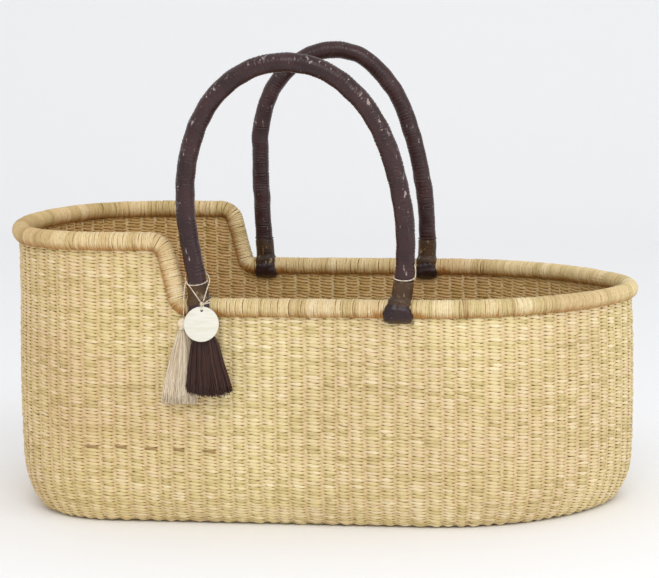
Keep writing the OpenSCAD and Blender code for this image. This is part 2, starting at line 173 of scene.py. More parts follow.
def addTone(obj, name, values):
    tone = obj.data.attributes.new(name, "FLOAT", "POINT")
    tone.data.foreach_set("value", np.asarray(values, np.float32))


# the place of each point before bending, which the wrinkles of the leather follow
def addAlong(obj, vectors):
    along = obj.data.attributes.new("along", "FLOAT_VECTOR", "POINT")
    along.data.foreach_set("vector", vectors.ravel())


# painted shade: straw is darker and browner on the side that faces in, where the inside of the basket lies in
# shade
def addInwardShade(obj, points):
    addTone(obj, "inner", share(points[:, 1] / (4 * mm) + 0.5))


# small open ends get a face, and all faces are turned outwards
def closeHoles(obj, sides):
    with editing(obj):
        bpy.ops.mesh.fill_holes(sides=sides)
        bpy.ops.mesh.select_all(action="SELECT")
        bpy.ops.mesh.normals_make_consistent(inside=False)


def mergePoints(obj, distance):
    with editing(obj):
        bpy.ops.mesh.remove_doubles(threshold=distance)


# the object just added, with its place and turn applied
def added(name):
    obj = bpy.context.object
    obj.name = name
    bpy.ops.object.transform_apply()
    return obj


# a ring extruded from place to place; each ring is x, y, z and its two half sizes
def growTube(name, rings, sides, axis="X", closeEnds=False):
    x, y, z, a, b = rings[0]
    turn = (0, rightAngle, 0) if axis == "X" else (0, 0, 0)
    bpy.ops.mesh.primitive_circle_add(vertices=sides, radius=mm, fill_type="NOTHING", rotation=turn)
    obj = added(name)

    def resize(p, q, centre):
        bpy.ops.transform.resize(value=(1, p, q) if axis == "X" else (p, q, 1), center_override=centre)

    with editing(obj):
        resize(a / mm, b / mm, (0, 0, 0))
        bpy.ops.transform.translate(value=(x, y, z))
        if closeEnds:
            bpy.ops.mesh.edge_face_add()
            bpy.ops.mesh.select_all(action="SELECT")
        for nx, ny, nz, na, nb in rings[1:]:
            bpy.ops.mesh.extrude_region_move(TRANSFORM_OT_translate={"value": (nx - x, ny - y, nz - z)})
            resize(na / a, nb / b, (nx, ny, nz))
            x, y, z, a, b = nx, ny, nz, na, nb
        bpy.ops.mesh.select_all(action="SELECT")
        bpy.ops.mesh.normals_make_consistent(inside=False)
    return obj


def repeat(obj, count, step, merge=False):
    array = obj.modifiers.new("repeat", "ARRAY")
    array.use_relative_offset = False
    array.use_constant_offset = True
    array.constant_offset_displace = step
    array.count = count
    array.use_merge_vertices = merge
    array.merge_threshold = 0.05 * mm


# repeated and applied: every point, and the number of the copy it is in
def copied(obj, count, step):
    repeat(obj, count, (step, 0, 0))
    applyModifiers(obj)
    points = pointsOf(obj)
    return points, np.repeat(np.arange(count), len(points) // count)


# cuts one object's shape out of another
def cutOut(obj, cutter):
    cut = obj.modifiers.new("cut", "BOOLEAN")
    cut.operation = "DIFFERENCE"
    cut.object = cutter
    applyModifiers(obj)
    bpy.data.objects.remove(cutter)


def guideLine(points, closed, twist="Z_UP"):
    line = bpy.data.curves.new("guide", "CURVE")
    line.dimensions = "3D"
    line.twist_mode = twist
    line.use_stretch = False
    line.use_deform_bounds = False
    spline = line.splines.new("POLY")
    spline.points.add(len(points) - 1)
    spline.points.foreach_set("co", [v for p in points for v in (*p, 1)])
    spline.use_cyclic_u = closed
    guide = bpy.data.objects.new("guide", line)
    scene.collection.objects.link(guide)
    return guide


# +X of obj runs along the guide, and +Y lies to its left
def bendAlong(obj, guide):
    bend = obj.modifiers.new("bend", "CURVE")
    bend.object = guide
    bend.deform_axis = "POS_X"
    applyModifiers(obj)


# the same along a route of its own, which is not needed afterwards
def bendOnce(obj, route, closed=False):
    guide = guideLine(route, closed, "MINIMUM")
    bendAlong(obj, guide)
    bpy.data.objects.remove(guide)


def lineLength(points, closed=False):
    points = np.asarray(points)
    steps = np.diff(points, axis=0)
    total = np.linalg.norm(steps, axis=1).sum()
    return total + (np.linalg.norm(points[0] - points[-1]) if closed else 0)


# points on an arc, angles in radians, without the last one
def arcPoints(centre, r, start, end, step=2.5 * mm):
    n = max(3, math.ceil(abs(end - start) * r / step))
    return [(centre[0] + r * math.cos(t), centre[1] + r * math.sin(t))
            for t in np.linspace(start, end, n, endpoint=False)]


def straightPoints(a, b, step=2.5 * mm):
    n = max(2, math.ceil(math.dist(a, b) / step))
    return [tuple(np.add(a, np.multiply(np.subtract(b, a), i / n))) for i in range(n)]


# a smooth line through chosen points
def smoothLine(points, cuts):
    found = []
    for i in range(len(points) - 1):
        a, b = points[max(i - 1, 0)], points[i]
        c, d = points[i + 1], points[min(i + 2, len(points) - 1)]
        for k in range(cuts):
            t = k / cuts
            found.append(0.5 * (2 * b + (c - a) * t + (2 * a - 5 * b + 4 * c - d) * t * t
                                + (3 * b - a - 3 * c + d) * t ** 3))
    return found + [points[-1]]


def circleTurns(count):
    return np.linspace(0, 2 * math.pi, count, endpoint=False)


# the camera; its turns are in radians
view = {"place": (0.357, -2.668, 0.650), "down": 0.137, "left": 0.131, "roll": -0.010, "lens": 109.6}
bpy.ops.object.camera_add(location=view["place"])
camera = bpy.context.object
camera.data.lens = view["lens"]
camera.matrix_world = (Matrix.Translation(view["place"]) @ Matrix.Rotation(view["left"], 4, "Z")
                       @ Matrix.Rotation(rightAngle - view["down"], 4, "X")
                       @ Matrix.Rotation(view["roll"], 4, "Z"))
scene.camera = camera
print("camera placed")


# materials
def newMaterial(name, roughness):
    material = bpy.data.materials.new(name)
    material.use_nodes = True
    tree = material.node_tree
    shader = tree.nodes["Principled BSDF"]
    shader.inputs["Roughness"].default_value = roughness
    return material, tree, shader


def addNode(tree, kind, inputs=(), **settings):
    made = tree.nodes.new("ShaderNode" + kind)
    for name, value in settings.items():
        setattr(made, name, value)
    for name, value in dict(inputs).items():
        if isinstance(value, bpy.types.NodeSocket):
            tree.links.new(value, made.inputs[name])
        else:
            made.inputs[name].default_value = value
    return made


# numbers 0, 6 and 7 are the Mix node's share and two colours
def mixColours(tree, blend, share, a, b):
    a, b = (value if isinstance(value, bpy.types.NodeSocket) else (*value, 1) for value in (a, b))
    return addNode(tree, "Mix", {0: share, 6: a, 7: b}, data_type="RGBA", blend_type=blend).outputs[2]


def colourRamp(tree, factor, stops):
    ramp = addNode(tree, "ValToRGB", {"Fac": factor})
    while len(ramp.color_ramp.elements) < len(stops):
        ramp.color_ramp.elements.new(0.5)
    for element, (place, colour) in zip(ramp.color_ramp.elements, stops):
        element.position = place
        element.color = (*colour, 1)
    return ramp.outputs["Color"]


def attribute(tree, name, output="Fac"):
    return addNode(tree, "Attribute", attribute_name=name).outputs[output]


def objectPlace(tree):
    return addNode(tree, "TexCoord").outputs["Object"]


def objectNoise(tree, scale, detail=2, stretch=(1, 1, 1)):
    stretched = addNode(tree, "Mapping", {"Vector": objectPlace(tree), "Scale": stretch}).outputs[0]
    return addNode(tree, "TexNoise", {"Vector": stretched, "Scale": scale, "Detail": detail}).outputs["Fac"]


# darker streaks between fibres, to multiply a colour by
def fibreShade(tree, fibre, dark):
    return colourRamp(tree, fibre, [(0.3, dark), (0.6, (1, 1, 1))])


def between(tree, value, low, high, newLow=0, newHigh=1):
    return addNode(tree, "MapRange", {"Value": value, "From Min": low, "From Max": high,
                                      "To Min": newLow, "To Max": newHigh}).outputs["Result"]


def addBump(tree, shader, height, strength, distance):
    bump = addNode(tree, "Bump", {"Height": height, "Strength": strength, "Distance": distance})
    tree.links.new(bump.outputs["Normal"], shader.inputs["Normal"])


# straw: a tone for each straw, broad patches, fibres along it, and painted shade that makes it darker and
# browner where it faces in
def strawMaterial(name, tones, patch, inside, fibres):
    material, tree, shader = newMaterial(name, 0.6)
    broad = between(tree, objectNoise(tree, 5, 3), 0.42, 0.6)
    colour = mixColours(tree, "MULTIPLY", broad, colourRamp(tree, attribute(tree, "tone"), tones), patch)
    # warmer towards the head end
    x = addNode(tree, "SeparateXYZ", {"Vector": objectPlace(tree)}).outputs["X"]
    colour = mixColours(tree, "MULTIPLY", between(tree, x, -0.1, -0.36), colour, (0.95, 0.89, 0.83))
    fibre = objectNoise(tree, 1, 3, fibres)
    colour = mixColours(tree, "MULTIPLY", 0.75, colour, fibreShade(tree, fibre, (0.78, 0.74, 0.66)))
    # painted shade: the colour is darkened towards the inside colour where the straw faces in, lies in gaps or
    # sits under the rim
    colour = mixColours(tree, "MULTIPLY", attribute(tree, "inner"), colour, inside)
    tree.links.new(colour, shader.inputs["Base Color"])
    addBump(tree, shader, fibre, 0.5, 0.25 * mm)
    return material


# the inside colours below are painted shade
straw = strawMaterial("straw", tones=[(0, (0.40, 0.27, 0.115)), (0.04, (0.62, 0.50, 0.22)),
                                      (0.3, (0.76, 0.63, 0.31)), (0.6, (0.83, 0.70, 0.38)),
                                      (0.85, (0.83, 0.67, 0.40)), (1, (0.91, 0.80, 0.50))],
                      patch=(0.93, 0.89, 0.90), inside=(0.74, 0.60, 0.44), fibres=(140, 140, 1500))
rimStraw = strawMaterial("rimStraw", tones=[(0, (0.52, 0.37, 0.17)), (0.2, (0.64, 0.52, 0.25)),
                                            (0.5, (0.74, 0.58, 0.31)), (0.75, (0.80, 0.66, 0.38)),
                                            (1, (0.86, 0.75, 0.50))],
                         patch=(0.92, 0.86, 0.84), inside=(0.66, 0.42, 0.20), fibres=(500, 500, 200))


# leather: a shine that varies, fine cross wrinkles, and pale flecks painted as highlights
def leatherMaterial(name, dark, light, glintColour, glintFrom, roughness):
    material, tree, shader = newMaterial(name, roughness)
    colour = mixColours(tree, "MIX", between(tree, objectNoise(tree, 28, 4), 0.35, 0.7), dark, light)
    # painted highlights: pale flecks from fine noise, more of them in the band where the arches catch the light
    glintNoise = addNode(tree, "Math", {0: objectNoise(tree, 230, 5, (1, 1, 0.4)),
                                    1: between(tree, attribute(tree, "glintBand"), 0, 1, 0, 0.1)},
                     operation="ADD").outputs[0]
    glints = between(tree, glintNoise, glintFrom, glintFrom + 0.08)
    colour = mixColours(tree, "MIX", glints, colour, glintColour)
    tree.links.new(colour, shader.inputs["Base Color"])
    tree.links.new(between(tree, objectNoise(tree, 160, 3), 0.3, 0.7, roughness - 0.1, roughness + 0.16),
                   shader.inputs["Roughness"])
    shader.inputs["Specular IOR Level"].default_value = 0.36
    wrinkles = addNode(tree, "TexNoise", {"Vector": attribute(tree, "along", "Vector"), "Scale": 1, "Detail": 3,
                                          "Distortion": 0.6}).outputs["Fac"]
    addBump(tree, shader, wrinkles, 0.5, 0.5 * mm)
    return material


# the pale fleck colour of each leather is a painted highlight
handleLeather = leatherMaterial("handleLeather", dark=(0.026, 0.009, 0.010), light=(0.054, 0.021, 0.021),
                                glintColour=(0.34, 0.27, 0.25), glintFrom=0.665, roughness=0.33)
collarLeather = leatherMaterial("collarLeather", dark=(0.022, 0.009, 0.004), light=(0.105, 0.052, 0.017),
                                glintColour=(0.24, 0.17, 0.09), glintFrom=0.60, roughness=0.42)
bootLeather = leatherMaterial("bootLeather", dark=(0.018, 0.006, 0.007), light=(0.036, 0.014, 0.015),
                              glintColour=(0.16, 0.13, 0.13), glintFrom=0.68, roughness=0.32)


# thread and raffia: a tone for each strand and fibres along it
def threadMaterial(name, tones, roughness, sheen=0.2):
    material, tree, shader = newMaterial(name, roughness)
    fibre = objectNoise(tree, 1, 3, (900, 900, 120))
    colour = mixColours(tree, "MULTIPLY", 0.7, colourRamp(tree, attribute(tree, "tone"), tones),
                        fibreShade(tree, fibre, (0.72, 0.70, 0.68)))
    tree.links.new(colour, shader.inputs["Base Color"])
    shader.inputs["Sheen Weight"].default_value = sheen
    addBump(tree, shader, fibre, 0.4, 0.15 * mm)
    return material


twineThread = threadMaterial("twineThread", [(0, (0.62, 0.50, 0.36)), (1, (0.84, 0.76, 0.62))], 0.7)
lightRaffia = threadMaterial("lightRaffia", [(0, (0.12, 0.06, 0.04)), (0.03, (0.12, 0.06, 0.04)),
                                             (0.04, (0.54, 0.38, 0.23)), (0.5, (0.91, 0.75, 0.54)),
                                             (1, (0.97, 0.87, 0.68))], 0.55)
darkThread = threadMaterial("darkThread", [(0, (0.026, 0.008, 0.005)), (0.8, (0.062, 0.020, 0.012)),
                                           (1, (0.118, 0.042, 0.023))], 0.45, sheen=0)

tagWood, tree, shader = newMaterial("tagWood", 0.5)
grain = objectNoise(tree, 1, 4, (60, 60, 400))
tree.links.new(colourRamp(tree, grain, [(0.35, (0.70, 0.67, 0.56)), (0.6, (0.76, 0.74, 0.65))]),
               shader.inputs["Base Color"])
addBump(tree, shader, grain, 0.15, 0.2 * mm)


# a piece's shading and material, the node it stands for and the body it moves with
def dress(obj, material, node, body=None, sharpest=None):
    activate(obj)
    if sharpest:
        bpy.ops.object.shade_smooth_by_angle(angle=math.radians(sharpest))
    else:
        bpy.ops.object.shade_smooth()
    obj.data.materials.clear()
    obj.data.materials.append(material)
    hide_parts(node)
    if body:
        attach(obj, body)


# the twine: two plies twisted together, bent along their route
twine = {"diameter": 1.6 * mm, "ply": 0.48 * mm, "off": 0.34 * mm, "twist": 4.5 * mm, "sides": 6, "cuts": 6,
         "routeCuts": 5}


def makeTwine(name, route, closed=False):
    length = lineLength(route, closed)
    turns = max(1, round(length / twine["twist"]))
    step = length / turns
    plies = []
    for side in (0, 1):
        rings = []
        for i in range(twine["cuts"] + 1):
            a = 2 * math.pi * (i / twine["cuts"] + side / 2)
            rings.append((step * i / twine["cuts"], twine["off"] * math.cos(a),
                          twine["off"] * math.sin(a), twine["ply"], twine["ply"]))
        ply = growTube(name + "_ply", rings, twine["sides"])
        repeat(ply, turns, (step, 0, 0), merge=True)
        bendOnce(ply, route, closed)
        mergePoints(ply, 0.05 * mm)
        closeHoles(ply, twine["sides"])
        plies.append(ply)
    both = joined(plies)
    both.name = name
    addTone(both, "tone", 0.5 + 0.5 * np.sin(pointsOf(both).sum(axis=1) * 700))
    return both


# the tag's loop goes up from the knot, round the back of the leg and down again
frontLeft = arches["front"]["left"]
knot = Vector((-frontLeft["foot"] - 2 * mm, -halfW - 24.5 * mm, sideZ + 8 * mm))
collar = {"d": 26 * mm, "tie": 1.6 * mm}
loopR = basket["sleeve"] / 2 + twine["diameter"] / 2 + 0.7 * mm
cornerR = collar["d"] / 2 + collar["tie"] / 2 + twine["diameter"] / 2


# a place beside the front left leg: s up it, and turned from its back
def roundLeg(s, turn, r=loopR):
    x, z = legAt(frontLeft, s * mm)
    a = math.radians(turn)
    return Vector((r * math.sin(a) - x, r * math.cos(a) - halfW, sideZ + z))


leftCorner = roundLeg(36, -112, cornerR + 1.1 * mm)
rightCorner = roundLeg(36, 105, cornerR + 1.5 * mm)
leftEnd = knot + Vector((-2.2, -0.4, 3.4)) * mm
rightEnd = knot + Vector((2.2, -0.4, 3.4)) * mm
loopRoute = smoothLine([leftEnd, (2 * leftEnd + leftCorner) / 3, (leftEnd + 2 * leftCorner) / 3, leftCorner,
                        roundLeg(43, -80, loopR + 0.4 * mm), roundLeg(46, -40), roundLeg(47, 0),
                        roundLeg(46, 40), roundLeg(43, 78, loopR + 0.4 * mm), rightCorner,
                        (rightEnd + 2 * rightCorner) / 3, (2 * rightEnd + rightCorner) / 3, rightEnd],
                       twine["routeCuts"])
tagLoop = makeTwine("tagLoop", loopRoute)
dress(tagLoop, twineThread, "tag_loop")
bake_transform(tagLoop)

# the light tassel's string hangs from the loop
lightTop = Vector((-frontLeft["foot"] - 28 * mm, -halfW - 12.5 * mm, sideZ - 12 * mm))
darkTop = Vector((-frontLeft["foot"] + 2 * mm, -halfW - 21.5 * mm, sideZ - 12 * mm))
stringPoints = [lightTop + Vector(v) * mm for v in ((0, 0, 0), (0.3, -0.9, 8), (0.8, -1.1, 20), (1.4, 0.6, 34))]
stringRoute = smoothLine(stringPoints + [leftCorner + Vector((0.2, -2.6, -1.6)) * mm], twine["routeCuts"])
lightString = makeTwine("lightTasselString", stringRoute)
dress(lightString, twineThread, "light_tassel_string")
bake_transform(lightString)
print("cords made")


# the basket's plan, anticlockwise from the middle of the foot end, along the rim's middle line;
# radii are whole hundredths of a millimetre, as in the frame
def sideRadius(endR, curve):
    exact = (halfW ** 2 - endR ** 2 + (curve - endR) ** 2) / (2 * (halfW - endR))
    return round(exact * 1e5) / 1e5


footSideR = sideRadius(basket["footEnd"], basket["footCurve"])
headSideR = sideRadius(basket["headEnd"], basket["headCurve"])
footX = halfL - basket["footCurve"]
headX = basket["headCurve"] - halfL
footTurn = math.atan2(footSideR - halfW, basket["footCurve"] - basket["footEnd"])
headTurn = math.atan2(halfW - headSideR, basket["headEnd"] - basket["headCurve"])

footHalf = (arcPoints((halfL - basket["footEnd"], 0), basket["footEnd"], 0, footTurn)
            + arcPoints((footX, halfW - footSideR), footSideR, footTurn, rightAngle))
headHalf = (arcPoints((headX, halfW - headSideR), headSideR, rightAngle, math.pi - headTurn)
            + arcPoints((basket["headEnd"] - halfL, 0), basket["headEnd"], math.pi - headTurn, math.pi))


def mirrored(points):
    return [(x, -y) for x, y in reversed(points[1:])]


rearHalf = footHalf + straightPoints((footX, halfW), (headX, halfW)) + headHalf
planLine = rearHalf + [(-halfL, 0)] + mirrored(rearHalf)
planLength = lineLength(planLine, closed=True)
footReach = lineLength(footHalf + [(footX, halfW)])


# how far along the plan a place on a side is; the front side is counted from the far end
def alongAt(x, front):
    s = footReach + footX - x
    return planLength - s if front else s


# the rim's middle line down a step: x and height, from the low rim to the high one
def stepLine(end):
    foot, top = basket["stepFoot"], basket["stepTop"]
    low = arcPoints((-end, sideZ + foot), foot, -rightAngle, lean - math.pi, 1.5 * mm)
    slant = (headZ - sideZ - (top + foot) * (1 - math.sin(lean))) / math.cos(lean)
    start = -end - (top + foot) * math.cos(lean) - slant * math.sin(lean)
    high = arcPoints((start, headZ - top), top, lean, rightAngle, 1.5 * mm)
    slantFoot = (-end - foot * math.cos(lean), sideZ + foot * (1 - math.sin(lean)))
    return low + straightPoints(slantFoot, high[0]) + high + [(start, headZ)]


steps = {"rear": stepLine(basket["rearStep"]), "front": stepLine(basket["frontStep"])}


# height of the rim's middle line over each place along the plan
def rimHeight(s):
    height = np.full(len(s), headZ)
    for side, line in steps.items():
        front = side == "front"
        places, heights = np.array([(alongAt(x, front), z) for x, z in line]).T
        if front:
            height = np.where(s > places.min(), np.interp(s, places[::-1], heights[::-1]), height)
        else:
            height = np.where(s < places.max(), np.interp(s, places, heights), height)
    return height


# the wall's profile: a flat border, then the turn up from the floor
def wallOut(z):
    return (basket["wall"] / 2 + basket["swell"] * math.sin(math.pi * min(z, sideZ) / sideZ)
            - basket["draw"] * max(0, 1 - z / basket["drawHeight"]) ** 2.4)


def wallMiddle(z):
    slope = (wallOut(z + mm) - wallOut(z)) / mm
    return wallOut(z) - basket["wall"] / 2 * math.sqrt(1 + slope ** 2)


border = {"places": ((-31, 3.6), (-25, 3.6), (-21.5, 4.4)), "turnUp": (8, 12, 17, 23, 30, 40, 52),
          "straightFrom": 68 * mm, "straightCuts": 18, "cuts": 4}
profile = [(out * mm, z * mm) for out, z in border["places"]]
profile += [(wallMiddle(z * mm), z * mm) for z in border["turnUp"]]
profile += [(wallMiddle(z), z) for z in np.linspace(border["straightFrom"], headZ, border["straightCuts"])]
profile = np.array([tuple(p) for p in smoothLine([Vector(p) for p in profile], border["cuts"])])
climb = np.concatenate([[0], np.cumsum(np.linalg.norm(np.diff(profile, axis=0), axis=1))])
profileHeading = np.gradient(profile, climb, axis=0)


def heightAt(t):
    return np.interp(t, climb, profile[:, 1])


def climbAt(z):
    return np.interp(z, profile[3:, 1], climb[3:])


# flat work (along, in, up) takes the wall's profile; +Y is inward
def shapeToProfile(points):
    d, z = (np.interp(points[:, 2], climb, profile[:, k]) for k in (0, 1))
    dOut, dUp = (np.interp(points[:, 2], climb, profileHeading[:, k]) for k in (0, 1))
    out = -points[:, 1]
    return np.stack([points[:, 0], -(d + out * dUp), z - out * dOut], axis=1)


planGuide = guideLine([(x, y, 0) for x, y in planLine], True)


# the wall: rows of two strands twined round upright stakes
weave = {"stakes": 112, "row": 4.45 * mm, "out": 2.1 * mm, "cross": 0.9 * mm, "thick": 0.95 * mm,
         "tall": 2.9 * mm, "tallCross": 1.45 * mm, "cuts": 6, "sides": 5, "rowsInPiece": 11,
         "jitterUp": 0.3 * mm, "jitterTilt": 0.1, "jitterOut": 0.38 * mm, "jitterAlong": 1.3 * mm,
         "palest": 1, "darkest": 0.08, "strawSpan": 4, "underRim": 8 * mm,
         "drift": 1.1 * mm, "driftFrom": 60 * mm, "spread": 1.2 * mm,
         "darkRow": 100 * mm, "darkFrom": -300 * mm, "darkTo": -115 * mm}
stakeGap = planLength / weave["stakes"]
random = np.random.default_rng(7)


# one stitch: the strand over the outside of a stake, and the one behind it
def makeStitch(name, w, gap):
    halves = []
    for side in (-1, 1):
        rings = []
        for i in range(w["cuts"] + 1):
            turn = math.pi * (i / w["cuts"] - 0.5)
            bulge = math.cos(turn)
            rings.append((gap * i / w["cuts"], side * w["out"] * bulge ** 1.5,
                          side * w["cross"] * math.sin(turn), w["thick"],
                          w["tallCross"] + (w["tall"] - w["tallCross"]) * bulge ** 1.8))
        halves.append(growTube(name, rings, w["sides"]))
    return joined(halves)


# strands are cut square across; faces come ring by ring, so whole rings go
def trimStrands(obj, unwanted, sides):
    unwanted = np.repeat(unwanted.reshape(-1, sides).mean(axis=1) > 0.5, sides)
    with editingOnly(obj, "FACE", unwanted):
        bpy.ops.mesh.delete(type="FACE")


# where a ring of strands meets itself
def closeRing(obj, sides):
    seam = np.empty(len(obj.data.vertices), np.float32)
    obj.data.attributes["seam"].data.foreach_get("value", seam)
    obj.data.attributes.remove(obj.data.attributes["seam"])
    with editingOnly(obj, "VERT", seam > 0.5):
        bpy.ops.mesh.remove_doubles(threshold=0.1 * mm)
    closeHoles(obj, sides)


def faceCentres(obj):
    centres = np.empty(len(obj.data.polygons) * 3)
    obj.data.polygons.foreach_get("center", centres)
    return centres.reshape(-1, 3)


# which row each point of a stack of rows is in
def rowsOf(points, row, rows):
    return np.clip(np.round(points[:, 2] / row).astype(int), 0, rows - 1)


# gaps in the top rows that the boots sit in: half widths, and how far they go below the rim's middle line
slot = {"front": {"left": 15.4 * mm, "right": 17.8 * mm}, "rear": {"left": 12.8 * mm, "right": 12.8 * mm},
        "below": 17.9 * mm, "ease": 0.4 * mm, "pressed": 2.6 * mm}
slotLine = sideZ - slot["below"]
bootSlots = [(alongAt(footOf(side, end), side == "front"), slot[side][end]) for side, end in legs]


def inBootSlot(s, z):
    inside = np.zeros(len(s), bool)
    for place, half in bootSlots:
        inside |= (np.abs(s - place) < half) & (z > slotLine)
    return inside


def makeRows(name, firstRow, rows):
    w = weave
    piece = makeStitch(name, w, stakeGap)
    repeat(piece, w["stakes"], (stakeGap, 0, 0), merge=True)
    repeat(piece, rows, (0, 0, w["row"]))
    applyModifiers(piece)
    points = pointsOf(piece)
    rowOf = rowsOf(points, w["row"], rows)
    along = points[:, 0] / stakeGap
    # every strand wanders a little, the same where the ring meets itself
    knots = np.clip(random.normal(size=(rows, 4, 2 * w["stakes"] + 1)), -2, 2)
    knots[:, :, -1] = knots[:, :, 0]
    at = np.clip(along * 2, 0, 2 * w["stakes"] - 1e-6)
    k, f = at.astype(int), at - at.astype(int)

    def wander(which):
        return knots[rowOf, which, k] * (1 - f) + knots[rowOf, which, k + 1] * f

    # the two strands take turns outside, so a straw shows at every other stake
    sideOf = (points[:, 1] > 0).astype(int)
    strand = (along.astype(int) + sideOf) % 2
    straws = random.uniform(w["darkest"], w["palest"], (rows, 2, w["stakes"] // w["strawSpan"] + 2))
    strawAt = (along / w["strawSpan"] + random.random(size=(rows, 2))[rowOf, strand]).astype(int)
    # one row has a dark strand for a short way
    darkRow = round(climbAt(w["darkRow"]) / w["row"] - 0.5) - firstRow
    start, end = sorted((alongAt(w["darkFrom"], True), alongAt(w["darkTo"], True)))
    dark = (rowOf == darkRow) & (strand == 0) & (points[:, 0] > start) & (points[:, 0] < end)
    addTone(piece, "tone", np.where(dark, 0, straws[rowOf, strand, strawAt]))
    addInwardShade(piece, points)
    addTone(piece, "seam", (along < 0.01) | (along > w["stakes"] - 0.01))
    height = points[:, 2] - rowOf * w["row"]
    points[:, 1] += w["jitterOut"] * wander(0) * np.sign(points[:, 1])
    points[:, 2] += w["jitterUp"] * wander(1) + height * w["jitterTilt"] * wander(2)
    points[:, 0] += w["jitterAlong"] * wander(3)
    points[:, 2] += (firstRow + 0.5) * w["row"]
    setPoints(piece, points)
    return piece


# rows drift up and down a little, and stakes are not quite evenly spread
def drifted(points):
    place, climbed = points[:, 0] / planLength * 2 * math.pi, points[:, 2]
    most = share(climbed / weave["driftFrom"]) * weave["drift"]
    points[:, 2] += most * (np.sin(5 * place + climbed * 9) + 0.6 * np.sin(11 * place + 2 - climbed * 14)
                            + 0.4 * np.sin(23 * place + climbed * 25))
    points[:, 0] += weave["spread"] * (np.sin(17 * place + climbed * 6) + np.sin(29 * place - climbed * 4))
    return points


# rows stop under the rim and are pressed down under the boots
def finishRows(piece):
    points = drifted(pointsOf(piece))
    flat = climbAt(slotLine)
    low = inBootSlot(points[:, 0], heightAt(points[:, 2])) & (points[:, 2] < flat + slot["pressed"])
    points[low, 2] = flat - slot["ease"]
    setPoints(piece, points)
    centres = faceCentres(piece)
    z = heightAt(centres[:, 2])
    over = (z > rimHeight(centres[:, 0])) | inBootSlot(centres[:, 0], z)
    if over.any():
        trimStrands(piece, over, weave["sides"])
    setPoints(piece, shapeToProfile(pointsOf(piece)))
    bendAlong(piece, planGuide)
    closeRing(piece, weave["sides"])
    dress(piece, straw, "wall_weave", "basket")


rowCount = int(climbAt(headZ - weave["underRim"]) / weave["row"])
lowRows = int(climbAt(sideZ - weave["underRim"]) / weave["row"])
bands = list(range(0, lowRows, weave["rowsInPiece"])) + [lowRows, rowCount]
for n, (first, last) in enumerate(zip(bands, bands[1:])):
    finishRows(makeRows("weave_%d" % n, first, last - first))
print("wall woven,", rowCount, "rows")


# stakes: bundles of straw that the rows are twined round, and thin packing where the strands cross, its tone
# and darkening set as painted shade for the gaps between rows
stake = {"wide": 2.7 * mm, "thick": 1.3 * mm, "packWide": 3.4 * mm, "packThick": 0.7 * mm,
         "cuts": 26, "sides": 6, "underRim": 3 * mm, "foot": 1 * mm,
         "inner": 0.2, "packShade": 0.22, "packShadeTone": 0.75}


def makeStake(x, wide, thick):
    rings = [(stakeGap * x, 0, i / stake["cuts"], wide, thick) for i in range(stake["cuts"] + 1)]
    return growTube("stakes", rings, stake["sides"], axis="Z", closeEnds=True)


stakes = joined([makeStake(0.5, stake["wide"], stake["thick"]),
                 makeStake(1, stake["packWide"], stake["packThick"])])
points, number = copied(stakes, weave["stakes"], stakeGap)
packing = points[:, 0] > (number + 0.75) * stakeGap
# painted shade: the packing gets a set tone and darkening, standing for the shade seen in the gaps between rows
addTone(stakes, "tone", np.where(packing, stake["packShadeTone"], random.random(weave["stakes"])[number]))
addTone(stakes, "inner", np.where(packing, stake["packShade"], stake["inner"]))
middle = (number + np.where(packing, 1, 0.5)) * stakeGap
top = rimHeight(middle) - stake["underRim"]
top[inBootSlot(middle, np.full(len(middle), sideZ))] = slotLine - slot["ease"]
points[:, 2] = stake["foot"] + points[:, 2] * (climbAt(top) - stake["foot"])
# the spread moves them sideways only
up = points[:, 2].copy()
points = drifted(points)
points[:, 2] = up
setPoints(stakes, shapeToProfile(points))
bendAlong(stakes, planGuide)
dress(stakes, straw, "wall_weave", "basket")
print("stakes set")


# the base: a flat mat of the same stitches in straight rows
base = {"row": 6.1 * mm, "out": 2.3 * mm, "cross": 1.3 * mm, "thick": 1.2 * mm, "tall": 3.1 * mm,
        "tallCross": 1.9 * mm, "cuts": 4, "sides": 4, "edge": 27.6 * mm, "middle": 3.6 * mm, "strawSpan": 2.5}
rows, stitches = int(2 * halfW / base["row"]), int(2 * halfL / stakeGap)
mat = makeStitch("base_mat", base, stakeGap)
repeat(mat, stitches, (stakeGap, 0, 0), merge=True)
repeat(mat, rows, (0, 0, base["row"]))
applyModifiers(mat)
points = pointsOf(mat)
sideOf = (points[:, 1] > 0).astype(int)
strawAt = (points[:, 0] / stakeGap / base["strawSpan"]).astype(int)
addTone(mat, "tone", random.random((rows, 2, stitches))[rowsOf(points, base["row"], rows), sideOf, strawAt])
addInwardShade(mat, points)
with editing(mat):
    bpy.ops.transform.rotate(value=-rightAngle, orient_axis="X", center_override=(0, 0, 0))
points = pointsOf(mat)
if points[:, 1].mean() < 0:
    points[:, 1:] *= -1
setPoints(mat, points + (-stitches * stakeGap / 2, -(rows - 1) * base["row"] / 2, base["middle"]))

# it stays a little inside the plan
outline = np.array(planLine[::3])
centres = faceCentres(mat)[:, :2]
reach = np.concatenate([np.min(np.linalg.norm(part[:, None] - outline[None], axis=2), axis=1)
                        for part in np.array_split(centres, 40)])
inside = np.zeros(len(centres), bool)
for (ax, ay), (bx, by) in zip(outline, np.roll(outline, -1, axis=0)):
    passed = (ay > centres[:, 1]) != (by > centres[:, 1])
    if passed.any():
        inside ^= passed & (centres[:, 0] < (bx - ax) * (centres[:, 1] - ay) / (by - ay) + ax)
trimStrands(mat, (reach < base["edge"]) | ~inside, base["sides"])
closeHoles(mat, base["sides"])
dress(mat, straw, "base_panel", "basket")
print("base laid,", len(mat.data.polygons), "faces")


